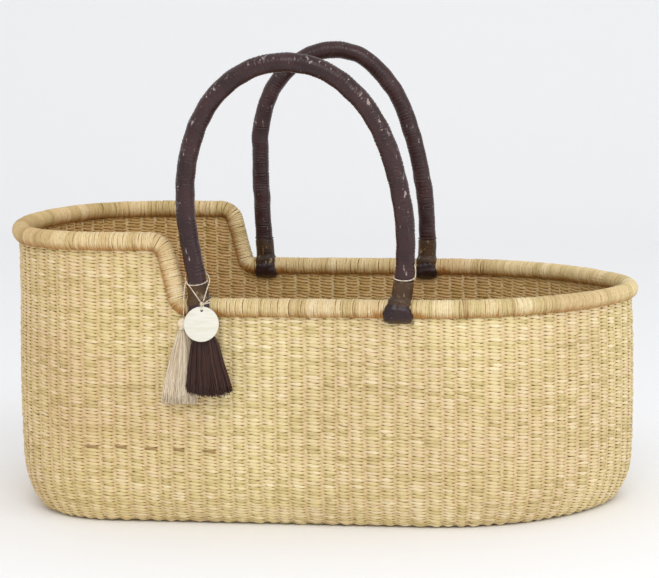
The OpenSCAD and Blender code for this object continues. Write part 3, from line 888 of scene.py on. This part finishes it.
# the rim: a core wound closely with straw, going down a step on each side
rim = {"pitch": 2.25 * mm, "straw": 1.4 * mm, "sides": 5, "around": 18, "tilt": 5,
       "core": 10 * mm, "coreStep": 5 * mm, "coreSides": 12, "coreShadeTone": 0.1,
       "bandMin": 6, "bandMax": 13, "bandTone": 0.72, "strawTone": 0.13,
       "bandThin": -0.3 * mm, "bandThick": 0.25 * mm, "uneven": 0.14 * mm, "waver": 0.35 * mm,
       "footThin": 0.11, "footShare": 0.2, "sag": 0.12, "sagUnder": 0.55, "proud": 0.05 * mm,
       "shadeShift": -0.28, "shadeBelow": 1.35, "ragged": 0.16, "nearBootUnder": 0.4,
       "nearBoot": 1.1, "nearBootAt": 23 * mm, "nearBootWide": 8 * mm}


def sideRoute(side):
    y = arches[side]["y"]
    step = [(x, y, z) for x, z in steps[side]]
    return straightPoints((footX, y, sideZ), step[0]) + step + straightPoints(step[-1], (headX, y, headZ))[1:]


def atHeight(points, z):
    return [(x, y, z) for x, y in points]


rearSide, frontSide = sideRoute("rear"), sideRoute("front")
rimRoute = (atHeight(footHalf, sideZ) + rearSide + atHeight(headHalf, headZ) + [(-halfL, 0, headZ)]
            + atHeight(mirrored(headHalf), headZ) + [(headX, -halfW, headZ)] + frontSide[:0:-1]
            + [(footX, -halfW, sideZ)] + atHeight(mirrored(footHalf), sideZ))
rimLength = lineLength(rimRoute, closed=True)
rimGuide = guideLine(rimRoute, True)

wraps = round(rimLength / rim["pitch"])
gap = rimLength / wraps
bpy.ops.mesh.primitive_torus_add(major_segments=rim["around"], minor_segments=rim["sides"],
                                 major_radius=rimR - rim["straw"] + rim["proud"], minor_radius=rim["straw"],
                                 rotation=(0, rightAngle, 0))
winding = added("rim_winding")
with editing(winding):
    bpy.ops.transform.rotate(value=math.radians(rim["tilt"]), orient_axis="Z", center_override=(0, 0, 0))
points, number = copied(winding, wraps, gap)
# bands of wraps share a tone and a size
bandTone, bandSize = np.empty(wraps), np.empty(wraps)
first = 0
while first < wraps:
    last = first + random.integers(rim["bandMin"], rim["bandMax"])
    bandTone[first:last] = random.random()
    bandSize[first:last] = random.uniform(rim["bandThin"], rim["bandThick"])
    first = last
tones = share(0.5 + (bandTone - 0.5) * rim["bandTone"] + random.normal(0, rim["strawTone"], wraps))
grow = 1 + (bandSize + random.normal(0, rim["uneven"], wraps)) / rimR
turn = np.arctan2(points[:, 2], points[:, 1])
waver = random.normal(0, rim["waver"], (2, wraps))
# it thins a little round the foot end
fromFoot = (np.arange(wraps) * gap / rimLength + 0.5) % 1 - 0.5
fromFoot = np.clip(fromFoot, -rim["footShare"], rim["footShare"]) / rim["footShare"]
grow = grow - rim["footThin"] * (0.5 + 0.5 * np.cos(fromFoot * math.pi))
sag = share(-points[:, 2] / rimR - rim["sagUnder"]) * random.uniform(0, rim["sag"], wraps)[number]
points[:, 1:] *= (grow[number] + sag)[:, None]
points[:, 0] += waver[0][number] * np.cos(turn) + waver[1][number] * np.sin(turn)
addTone(winding, "tone", tones[number])
# painted shade: darker and browner on its underside, unevenly from wrap to wrap along the ragged lower edge;
# also darker beside each boot on its lower side
inner = random.normal(0, rim["ragged"], wraps)[number] + rim["shadeShift"] - points[:, 2] / rimR * rim["shadeBelow"]
low = share(rim["nearBootUnder"] - points[:, 2] / rimR)
setPoints(winding, points)
bendAlong(winding, rimGuide)
placed = pointsOf(winding)
# darker beside each boot, on the rim's lower side
for side, end in legs:
    beside = (np.abs(placed[:, 0] - footOf(side, end)) - rim["nearBootAt"]) / rim["nearBootWide"]
    inner += rim["nearBoot"] * np.exp(-beside ** 2) * low * (placed[:, 1] * arches[side]["y"] > 0)
addTone(winding, "inner", share(inner))
dress(winding, rimStraw, "rim_wrap", "basket")

lengths = round(rimLength / rim["coreStep"])
gap = rimLength / lengths
core = growTube("rim_core", [(x, 0, 0, rim["core"], rim["core"]) for x in (0, gap)], rim["coreSides"])
repeat(core, lengths, (gap, 0, 0), merge=True)
bendAlong(core, rimGuide)
mergePoints(core, 0.2 * mm)
# painted shade: the core gets the darkest tone and full darkening, as it shows only in the gaps between wraps
for name, value in (("tone", rim["coreShadeTone"]), ("inner", 1)):
    addTone(core, name, np.full(len(core.data.vertices), value))
dress(core, rimStraw, "rim_wrap", "basket")
bpy.data.objects.remove(rimGuide)
bpy.data.objects.remove(planGuide)
print("rim wound,", len(winding.data.polygons), "faces")


# the handles: leather-covered arches with collars, and boots that hold them to the rim
sleeve = {"radius": basket["sleeve"] / 2, "ring": 0.9 * mm, "sides": 30, "start": 7 * mm,
          "creases": 3.3 * mm, "crease": 0.62 * mm, "lump": 0.5 * mm, "seam": 0.55 * mm,
          "seamAt": {"front": 2.4, "rear": 0.9}, "glintBand": {"front": 1, "rear": 0.3},
          "glintBandFrom": 90 * mm, "glintBandOver": 60 * mm, "glintBandMiddle": 110 * mm,
          "glintBandSide": 0.8, "glintBandTop": 0.6, "glintBandEdge": 0.86}
crownTurn, upperTurn = math.radians(40), math.radians(70)
# how leather wrinkles: a crease wanders and slants, dips, and swells on each side of the dip
leather = {"offPlace": 1.3 * mm, "slant": 1.2 * mm, "curl": 0.4 * mm, "reach": 6 * mm, "arc": (0.5, 2.2),
           "faintest": 0.4, "dip": 0.75 * mm, "swell": 0.5, "swellAt": 1.7 * mm, "swellWide": 0.8 * mm,
           "lumpLong": 19 * mm, "lumpShort": 7 * mm, "lapWander": 0.12, "lapLong": 23 * mm,
           "lapFall": 0.5, "lapEdge": 0.06, "grain": 420, "grainRound": 1.4}


# one half, from the leg's foot to the crown: x from the middle and height over the rim's middle line
def halfArch(leg, start):
    wideX, wideZ, crownX, crownZ, shoulderR = (leg[k] for k in ("wide", "wideZ", "crown", "crownZ", "shoulder"))
    restX = wideX - crownX - shoulderR * (math.sin(upperTurn) - math.sin(crownTurn))
    restZ = crownZ - wideZ - shoulderR * (math.cos(crownTurn) - math.cos(upperTurn))
    det = math.sin(crownTurn) * math.cos(upperTurn) - (1 - math.sin(upperTurn)) * (1 - math.cos(crownTurn))
    crownR = (restX * math.cos(upperTurn) - restZ * (1 - math.sin(upperTurn))) / det
    flankR = (restZ * math.sin(crownTurn) - restX * (1 - math.cos(crownTurn))) / det
    legR = legRadius(leg)
    shoulder = (wideX - flankR + (flankR - shoulderR) * math.sin(upperTurn),
                wideZ + (flankR - shoulderR) * math.cos(upperTurn))
    points = []
    for centre, r, low, high in (((wideX - legR, wideZ), legR, start / legR - legLean(leg), 0),
                                 ((wideX - flankR, wideZ), flankR, 0, rightAngle - upperTurn),
                                 (shoulder, shoulderR, rightAngle - upperTurn, rightAngle - crownTurn),
                                 ((crownX, crownZ - crownR), crownR, rightAngle - crownTurn, rightAngle)):
        points += arcPoints(centre, r, low, high, 4 * mm)
    return points + [(crownX, crownZ)]


def archRoute(side, start):
    y = arches[side]["y"]
    left, right = ([(towards[end] * settle(side, end, x, z), y, sideZ + z)
                    for x, z in halfArch(arches[side][end], start)] for end in towards)
    return left + right[::-1]


def polar(points):
    return np.arctan2(points[:, 2], points[:, 1]), np.hypot(points[:, 1], points[:, 2])


# an angle brought to between half a turn back and half a turn on
def shortTurn(turn):
    return (turn + math.pi) % (2 * math.pi) - math.pi


# leather pulled over a core: creases across it, soft lumps, and a lapped seam along it
def wrinkle(points, length, s):
    turn, radius = polar(points)
    x, change = points[:, 0], np.zeros(len(points))
    places = np.arange(0, length, s["creases"])
    for place in places + random.uniform(-1, 1, len(places)) * leather["offPlace"]:
        near = np.flatnonzero(np.abs(x - place) < leather["reach"])
        heading, spread = random.uniform(-math.pi, math.pi), random.uniform(*leather["arc"])
        apart = shortTurn(turn[near] - heading)
        bent = x[near] - place - random.uniform(-1, 1) * leather["slant"] * apart
        bent = bent - leather["curl"] * np.sin(3 * apart)
        fade = s["crease"] * np.exp(-(apart / spread) ** 2)
        change[near] -= fade * random.uniform(leather["faintest"], 1) * np.exp(-(bent / leather["dip"]) ** 2)
        beside = (np.abs(bent) - leather["swellAt"]) / leather["swellWide"]
        change[near] += fade * leather["swell"] * np.exp(-beside ** 2)
    for n in range(1, 4):
        waves = random.uniform(0, 2 * math.pi, 4)
        lengthways = np.sin(x / leather["lumpLong"] * n * 0.7 + waves[1])
        change += s["lump"] * 0.5 * np.sin(n * turn + waves[0]) * lengthways
        change += s["lump"] * 0.35 * np.sin(x / leather["lumpShort"] * n * 0.6 + waves[2] + turn)
    lap = shortTurn(turn - s["seamTurn"] - leather["lapWander"] * np.sin(x / leather["lapLong"]))
    change += s["seam"] * np.where(lap > 0, np.exp(-lap / leather["lapFall"]),
                                   np.exp(-(lap / leather["lapEdge"]) ** 2))
    points[:, 1:] *= (1 + change / radius)[:, None]
    return points


def leatherTube(name, route, s, radius):
    length = lineLength(route)
    count = round(length / s["ring"])
    ring = length / count
    tube = growTube(name, [(x, 0, 0, radius, radius) for x in (0, ring)], s["sides"])
    repeat(tube, count, (ring, 0, 0), merge=True)
    applyModifiers(tube)
    points = pointsOf(tube)
    turn = polar(points)[0]
    addAlong(tube, np.stack([points[:, 0] * leather["grain"], np.cos(turn) * leather["grainRound"],
                             np.sin(turn) * leather["grainRound"]], axis=1))
    setPoints(tube, wrinkle(points, length, s))
    return tube


def bendLeather(tube, route):
    bendOnce(tube, route)
    with editing(tube, "DESELECT"):
        bpy.ops.mesh.select_non_manifold()
        bpy.ops.mesh.edge_face_add()


# painted highlights: a band on the outer side of each arch's upper part, where glints fall on the glossy
# leather, gets more pale flecks
def addGlintBand(tube, side):
    points, normals = pointsOf(tube), np.empty(len(tube.data.vertices) * 3)
    tube.data.vertices.foreach_get("normal", normals)
    normals = normals.reshape(-1, 3)
    out = points - (0, arches[side]["y"], sideZ + sleeve["glintBandMiddle"])
    out /= np.linalg.norm(out, axis=1)[:, None]
    outward = normals[:, 0] * out[:, 0] + normals[:, 2] * out[:, 2]
    facing = np.abs(normals[:, 1]) * sleeve["glintBandSide"] + outward * sleeve["glintBandTop"]
    high = share((points[:, 2] - sideZ - sleeve["glintBandFrom"]) / sleeve["glintBandOver"])
    facing = share((facing - sleeve["glintBandEdge"]) / (1 - sleeve["glintBandEdge"]))
    addTone(tube, "glintBand", facing * high * sleeve["glintBand"][side])


for side in arches:
    body = side + "_handle"
    sleeve["seamTurn"] = sleeve["seamAt"][side]
    route = archRoute(side, sleeve["start"])
    tube = leatherTube(side + "_sleeve", route, sleeve, sleeve["radius"])
    bendLeather(tube, route)
    addGlintBand(tube, side)
    dress(tube, handleLeather, body + "_sleeve", body)
    print(side, "handle covered,", len(tube.data.polygons), "faces")


# collars: a cuff of paler leather round the foot of each leg
cuff = {"radius": collar["d"] / 2, "ring": 0.9 * mm, "sides": 32, "start": 4 * mm, "step": 2 * mm,
        "creases": 4.5 * mm, "crease": 0.3 * mm, "lump": 0.25 * mm, "seam": 0.5 * mm,
        "lip": 1.05 * mm, "fit": 0.2 * mm, "wavy": 0.5 * mm,
        "top": {"front": {"left": 33 * mm, "right": 36 * mm}, "rear": {"left": 39 * mm, "right": 39 * mm}},
        "square": 5, "squareFrom": 17 * mm, "squareAt": 9 * mm, "flare": 1.5 * mm}


# a round outline pulled out towards a square one, so that leather lies flat over the rim
def squarer(points, first, second, amount, power):
    a, b = points[:, first], points[:, second]
    r = np.hypot(a, b)
    c, s = np.abs(a) / r, np.abs(b) / r
    full = (c ** power + s ** power) ** (-1 / power)
    grow = 1 + (full - 1) * amount
    points[:, first] *= grow
    points[:, second] *= grow


def legPoint(side, end, s):
    x, z = legAt(arches[side][end], s)
    return towards[end] * settle(side, end, x, z), arches[side]["y"], sideZ + z


def makeCollar(side, end):
    start, top = cuff["start"], cuff["top"][side][end]
    places = np.linspace(start, top, math.ceil((top - start) / cuff["step"]) + 1)
    route = [legPoint(side, end, s) for s in places]
    length = lineLength(route)
    cuff["seamTurn"] = random.uniform(1.2, 2.0) * (1 if side == "rear" else -1)
    tube = leatherTube("%s_%s_cuff" % (side, end), route, cuff, cuff["radius"])
    points = pointsOf(tube)
    turn, radius = polar(points)
    # the top edge turns in to the handle
    edge = share((points[:, 0] - length + cuff["lip"]) / cuff["lip"])
    points[:, 1:] *= (1 - edge ** 3 * (1 - (sleeve["radius"] - cuff["fit"]) / radius))[:, None]
    points[:, 0] += cuff["wavy"] * np.sin(2 * turn + 1) * share(points[:, 0] / length) ** 4
    low = share((cuff["squareFrom"] - cuff["start"] - points[:, 0]) / (cuff["squareFrom"] - cuff["squareAt"]))
    low = low * low * (3 - 2 * low)
    points[:, 1:] *= (1 + low * cuff["flare"] / radius)[:, None]
    squarer(points, 1, 2, low, cuff["square"])
    setPoints(tube, points)
    bendLeather(tube, route)
    dress(tube, collarLeather, "%s_%s_collar" % (side, end), side + "_handle")


# boots: a bell of dark leather folded round the rim
boot = {"front": {"left": 16.5 * mm, "right": 19.6 * mm}, "rear": {"left": 16.5 * mm, "right": 16.5 * mm},
        "square": 3.8, "lean": 0.35, "top": 8.5 * mm, "wide": -5 * mm, "low": -18.6 * mm,
        "foot": 14 * mm, "neck": 0.8 * mm, "reach": 18.15 * mm, "ease": 0.5 * mm, "bore": 12.7 * mm,
        "over": 1.2 * mm, "under": 1.5 * mm, "roundFrom": 5 * mm, "round": 7 * mm, "grain": 300,
        "sides": 56, "rings": 30, "pleat": 0.6 * mm, "pleats": 13, "fold": 0.4, "foldGap": 1.5 * mm}


def bellRadius(s, wide):
    if s > boot["wide"]:
        neck = collar["d"] / 2 + boot["neck"]
        return wide - (wide - neck) * ((s - boot["wide"]) / (boot["top"] - boot["wide"])) ** 1.6
    return wide - (wide - boot["foot"]) * ((boot["wide"] - s) / (boot["wide"] - boot["low"])) ** 2


def makeBoot(side, end):
    leg, y = arches[side][end], arches[side]["y"]
    foot = footOf(side, end, 2 * mm)
    rings = []
    for s in np.linspace(boot["low"] - boot["under"], boot["top"] + boot["over"], boot["rings"]):
        r = bellRadius(float(np.clip(s, boot["low"], boot["top"])), boot[side][end])
        r *= math.sqrt(max(0.12, 1 - max(0, (boot["low"] + boot["roundFrom"] - s) / boot["round"]) ** 2))
        rings.append((0, 0, s, r, r))
    bell = growTube("boot_%s_%s" % (side, end), rings, boot["sides"], axis="Z", closeEnds=True)
    points = pointsOf(bell)
    turn = np.arctan2(points[:, 1], points[:, 0])
    height = share((points[:, 2] - boot["low"]) / (boot["top"] - boot["low"]))
    # pleats gather towards the top, with a few folds across
    waves = random.uniform(0, 2 * math.pi, 3)
    pleats = np.sin(boot["pleats"] * turn + waves[0] + 0.8 * np.sin(2 * turn + waves[1])) * height ** 2
    folds = np.sin(points[:, 2] / boot["foldGap"] + 1.3 * np.sin(turn * 2 + waves[2]))
    folds = folds * boot["fold"] * (0.3 + height)
    r = np.maximum(np.hypot(points[:, 0], points[:, 1]), 6 * mm)
    points[:, :2] *= (1 + boot["pleat"] * (pleats + folds) / r)[:, None]
    squarer(points, 0, 1, 1, boot["square"])
    angle = legLean(leg) * boot["lean"]
    x, z = points[:, 0].copy(), points[:, 2].copy()
    points[:, 0] = x * math.cos(angle) + z * math.sin(angle)
    points[:, 2] = z * math.cos(angle) - x * math.sin(angle)
    # nothing reaches further from the rim's middle line than the boot may turn
    away = np.hypot(points[:, 1], points[:, 2])
    soft = boot["reach"] - boot["ease"] * np.log1p(np.exp((boot["reach"] - away) / boot["ease"]))
    pulled = np.maximum(soft, 0.3 * away) / np.maximum(away, 1 * mm)
    points[:, 1:] *= np.where(away > 1 * mm, pulled, 1)[:, None]
    points[:, 0] *= towards[end]
    points += (foot, y, sideZ)
    addAlong(bell, points * boot["grain"])
    setPoints(bell, points)
    if end == "left":
        with editing(bell):
            bpy.ops.mesh.flip_normals()
    bpy.ops.mesh.primitive_cylinder_add(vertices=64, radius=boot["bore"], depth=80 * mm,
                                        location=(foot, y, sideZ), rotation=(0, rightAngle, 0))
    cutOut(bell, bpy.context.object)
    dress(bell, bootLeather, "%s_%s_boot" % (side, end), side + "_handle", 50)


# ties: a turn of thin twine round the top of each collar, lower at the front
tie = {"front": {"left": 33 * mm, "right": 39.5 * mm}, "rear": {"left": 39.6 * mm, "right": 39.6 * mm},
       "dip": 3.2 * mm, "up": 1.4 * mm, "lean": 0.35, "cuts": 48,
       "loose": ((0, 0, 0), (1.3, -0.5, 6), (1.4, -0.7, 13), (0.2, -0.6, 19), (-1.4, -0.9, 24))}


def makeTie(side, end):
    leg, height = arches[side][end], tie[side][end]
    legX, legY, legZ = legPoint(side, end, height)
    angle = (height / legRadius(leg) - legLean(leg)) * tie["lean"]
    facing = -1 if side == "front" else 1
    r = sleeve["radius"] + twine["diameter"] / 2
    ring = []
    for t in circleTurns(tie["cuts"]):
        dip = tie["dip"] * max(0, math.sin(t)) ** 0.8
        flat = Vector((r * math.cos(t), facing * r * math.sin(t), tie["up"] - dip))
        x, y, z = Vector((flat.x * math.cos(angle) - flat.z * math.sin(angle), flat.y,
                          flat.z * math.cos(angle) + flat.x * math.sin(angle)))
        ring.append(Vector((legX + towards[end] * x, legY + y, legZ + z)))
    thread = twineThread if side == "front" else darkThread
    dress(makeTwine("%s_%s_turn" % (side, end), ring, True), thread,
          "%s_%s_tie" % (side, end), side + "_handle")
    if (side, end) == ("front", "right"):
        # its loose end stands up beside the leg
        foot = Vector((legX + r + 0.2 * mm, legY - 2 * mm, legZ - 2 * mm))
        route = smoothLine([foot + Vector(v) * mm for v in tie["loose"]], twine["routeCuts"])
        dress(makeTwine("looseEnd", route), twineThread, "front_right_tie", "front_handle")


for side, end in legs:
    makeCollar(side, end)
    makeBoot(side, end)
    makeTie(side, end)
print("collars, boots and ties made")


# knot, ring and bare tag
tag = {"d": 44 * mm, "t": 2.2 * mm, "hole": 3.4 * mm, "holeOff": 17 * mm, "lean": 14, "ring": 4.2 * mm,
       "gap": 0.3 * mm, "edge": 0.35 * mm, "edgeCuts": 3, "knotWide": 0.85, "knotDeep": 1.1,
       "knotCuts": 36, "ringCuts": 32}
tagPin = knot + Vector((0, -1, 0.6 - 2 * tag["ring"] / mm)) * mm
tagLean = Matrix.Rotation(math.radians(-tag["lean"]), 3, "X")

knotRoute = [knot + Vector(((2 + math.cos(3 * t)) * math.cos(2 * t) * tag["knotWide"],
                            math.sin(3 * t) * tag["knotDeep"],
                            (2 + math.cos(3 * t)) * math.sin(2 * t) * tag["knotWide"])) * mm
             for t in circleTurns(tag["knotCuts"])]
ringRoute = [tagPin + tagLean @ Vector((0, math.sin(t), 1 - math.cos(t))) * tag["ring"]
             for t in circleTurns(tag["ringCuts"])]
upper = ((0, 0, 0), (4, -0.8, 1.2), (8, -0.9, 4), (11, -0.5, 5.5))
lower = ((0, 0, 0), (4, -1.6, 0.2), (8, -1.8, 1.4), (11.5, -1.2, 1.8))
knotEnds = {
    "knotEndUpper": [knot + Vector(v) * mm for v in upper],
    "knotEndLower": [knot + Vector(v) * mm for v in lower],
    "darkTasselStrand": [knot + Vector((1, 2.2, -1.2)) * mm, (knot + darkTop) / 2 + Vector((0.6, 0.4, 0)) * mm,
                         darkTop - Vector((0, 0, 2)) * mm],
}
for name, route, closed in ([("tagKnot", knotRoute, True), ("tagRing", ringRoute, True)]
                            + [(name, smoothLine(line, twine["routeCuts"]), False)
                               for name, line in knotEnds.items()]):
    dress(makeTwine(name, route, closed), twineThread, "tag_knot", "basket")

bpy.ops.mesh.primitive_cylinder_add(vertices=96, radius=tag["d"] / 2, depth=tag["t"],
                                    location=(0, 0, -tag["holeOff"]), rotation=(rightAngle, 0, 0))
disc = added("tag")
bpy.ops.mesh.primitive_cylinder_add(vertices=32, radius=tag["hole"] / 2, depth=20 * mm,
                                    rotation=(rightAngle, 0, 0))
cutOut(disc, bpy.context.object)
soften = disc.modifiers.new("soften", "BEVEL")
soften.width = tag["edge"]
soften.segments = tag["edgeCuts"]
applyModifiers(disc)
tagDrop = tag["hole"] / 2 - twine["diameter"] / 2 + 0.1 * mm - tag["gap"]
points = pointsOf(disc) - (0, 0, tagDrop)
setPoints(disc, points @ np.array(tagLean).T + np.array(tagPin))
dress(disc, tagWood, "tag_disc", "tag", 40)
print("tag made")


# tassels: a wound head and neck, and a loose fan of strands; each row is how far down it is,
# then its middle and half sizes across and deep, in millimetres
tassels = {
    "light": {"top": lightTop + Vector((-0.8, -1.6, 0.6)) * mm, "length": 92 * mm, "strands": 1000,
              "thick": 0.42 * mm, "wave": 0.9 * mm, "ragged": 0.05, "arc": 0.0, "strays": 0.06,
              "material": lightRaffia,
              "rows": [(0, 0, 0, 4.8, 4), (0.08, 0, 0, 8, 4), (0.25, -1, 0, 13.5, 4.2),
                       (0.5, -2.5, 0, 18.5, 4.4), (0.75, -4.5, 0, 22, 4.4), (1, -6, 0, 24.5, 4.4)]},
    "dark": {"top": darkTop, "length": 80 * mm, "strands": 1100,
             "thick": 0.4 * mm, "wave": 0.55 * mm, "ragged": 0.03, "arc": 0.07, "strays": 0,
             "material": darkThread,
             "rows": [(0, 0, 0, 4.8, 4.4), (0.08, -0.5, -0.6, 12.5, 4.4), (0.2, -1, -1.8, 19.5, 5),
                      (0.47, 0.5, -4, 24, 5.5), (0.72, 2.5, -4.5, 29, 5.5), (1, 4, -4.5, 34, 5.5)]},
}
head = {"radius": 6 * mm, "cut": 4 * mm, "ridges": 28, "ridge": 0.035, "widen": 0.25, "gap": 0.5 * mm,
        "binding": 4 * mm, "neck": 5.2 * mm, "sunk": 0.35 * mm, "turns": 6, "overlap": 1.12, "uneven": 0.05}
fringe = {"cuts": 11, "sides": 3, "full": 0.93, "shortest": 0.7, "longest": 1.04, "short": 0.03,
          "slowest": 0.7, "fastest": 1.8, "sway": 0.4, "palest": 1, "darkest": 0.08}


# strands pulled over a ball
def makeHead(name, t, middle):
    bpy.ops.mesh.primitive_uv_sphere_add(segments=56, ring_count=20, radius=head["radius"], location=middle)
    ball = added(name + "_head")
    away = pointsOf(ball) - np.array(middle)
    turn, rise = np.arctan2(away[:, 1], away[:, 0]), away[:, 2] / head["radius"]
    ridges = np.sin(head["ridges"] * turn)
    grow = 1 + head["ridge"] * ridges * share(1 - np.abs(rise)) ** 0.5
    away[:, :2] *= (grow * (1 + share(-rise) * head["widen"]))[:, None]
    away[:, 2] = np.maximum(away[:, 2], -head["cut"] - 1 * mm)
    setPoints(ball, away + np.array(middle))
    # painted shade: the tone follows the ridges, paler on them and darker in the grooves between
    addTone(ball, "tone", 0.5 + 0.3 * ridges)
    dress(ball, t["material"], name + "_tassel_head", name + "_tassel")


# turns of thread round the neck
def makeBinding(name, t, middle):
    winds = []
    for i in range(head["turns"]):
        drop = head["cut"] + head["binding"] * (i + 0.5) / head["turns"]
        bpy.ops.mesh.primitive_torus_add(major_segments=40, minor_segments=8,
                                         major_radius=head["neck"] - head["sunk"],
                                         minor_radius=head["binding"] / head["turns"] / 2 * head["overlap"],
                                         location=middle - Vector((0, 0, drop)),
                                         rotation=(head["uneven"] * math.sin(i * 2),
                                                   head["uneven"] * math.cos(i * 3), 0))
        winds.append(bpy.context.object)
    joined(winds)
    binding = added(name + "_binding")
    addTone(binding, "tone", np.full(len(binding.data.vertices), 0.8))
    dress(binding, t["material"], name + "_tassel_binding", name + "_tassel")


# one strand grown and repeated, then laid out between the rows
def makeFringe(name, t, start):
    rings = [(0, 0, -i / fringe["cuts"], t["thick"], t["thick"]) for i in range(fringe["cuts"] + 1)]
    fan = growTube(name + "_fan", rings, fringe["sides"], axis="Z", closeEnds=True)
    n = t["strands"]
    points, number = copied(fan, n, 1)
    turn = random.uniform(0, 2 * math.pi, n)
    spread = np.sqrt(random.random(n)) * fringe["full"]
    across, deep = spread * np.cos(turn), spread * np.sin(turn)
    drop = 1 + random.normal(0, t["ragged"], n) - t["arc"] * across ** 2
    drop -= fringe["short"] * np.abs(random.normal(0, 1, n))
    drop = np.clip(drop, fringe["shortest"], fringe["longest"])
    down = -points[:, 2] * drop[number]
    rows = np.array(t["rows"]) * (1, mm, mm, mm, mm)
    midX, midY, halfX, halfY = (np.interp(down, rows[:, 0], rows[:, k]) for k in range(1, 5))
    phase = random.uniform(0, 2 * math.pi, (2, n))
    rate = random.uniform(fringe["slowest"], fringe["fastest"], (2, n))
    wave, sway = (t["wave"] * down * np.sin(phase[k][number] + down * 6 * rate[k][number]) for k in (0, 1))
    points[:, 0] += midX + halfX * across[number] + wave - number
    points[:, 1] += midY + halfY * deep[number] + sway * fringe["sway"]
    points[:, 2] = -down * t["length"]
    setPoints(fan, points + start)
    tones = random.random(n)
    if t["strays"]:
        # a few dark strands strayed in at the front, on its neighbour's side
        strays = (random.random(n) < t["strays"]) & (across > 0.1) & (across < 0.75) & (deep < -0.2)
        tones = np.where(strays, 0, fringe["darkest"] + (fringe["palest"] - fringe["darkest"]) * tones)
    addTone(fan, "tone", tones[number])
    dress(fan, t["material"], name + "_tassel_skirt", name + "_tassel")


for name, t in tassels.items():
    middle = t["top"] - Vector((0, 0, head["gap"] + head["radius"]))
    makeHead(name, t, middle)
    makeBinding(name, t, middle)
    makeFringe(name, t, np.array(middle) - (0, 0, head["cut"] + head["binding"]))
print("tassels made")


# floor and backdrop in one sweep, and soft lamps
studio = {"pale": (0.92, 0.925, 0.94), "wide": 16, "back": 4.2, "tall": 5, "curve": 1.2, "cuts": 24,
          "world": 0.86, "window": 36, "fill": 12}
bpy.ops.mesh.primitive_plane_add(size=studio["wide"], location=(0, studio["back"] - studio["wide"] / 2, 0))
floor = added("floor")
atBack = [all(floor.data.vertices[v].co.y > studio["back"] - 0.1 for v in edge.vertices)
          for edge in floor.data.edges]
with editingOnly(floor, "EDGE", atBack):
    bpy.ops.mesh.extrude_region_move(TRANSFORM_OT_translate={"value": (0, 0, studio["tall"])})
sweep = floor.modifiers.new("sweep", "BEVEL")
sweep.width = studio["curve"]
sweep.segments = studio["cuts"]
applyModifiers(floor)
bpy.ops.object.shade_smooth()
paleFloor, tree, shader = newMaterial("paleFloor", 0.9)
shader.inputs["Base Color"].default_value = (*studio["pale"], 1)
floor.data.materials.append(paleFloor)

scene.world = bpy.data.worlds.new("softRoom")
scene.world.use_nodes = True
room = scene.world.node_tree.nodes["Background"].inputs
room["Color"].default_value = (1, 1, 1, 1)
room["Strength"].default_value = studio["world"]


def softLamp(name, place, size, power):
    bpy.ops.object.light_add(type="AREA", location=place)
    lamp = bpy.context.object
    lamp.name = name
    lamp.data.shape = "RECTANGLE"
    lamp.data.size, lamp.data.size_y = size
    lamp.data.energy = power
    lamp.rotation_euler = (Vector((0, 0, 0.2)) - Vector(place)).to_track_quat("-Z", "Y").to_euler()


softLamp("windowLamp", (0.5, -2.7, 2.7), (1.8, 1.4), studio["window"])
softLamp("fillLamp", (2.6, -1.4, 1.4), (1.6, 1.6), studio["fill"])
scene.view_settings.view_transform = "Standard"
print("studio set")
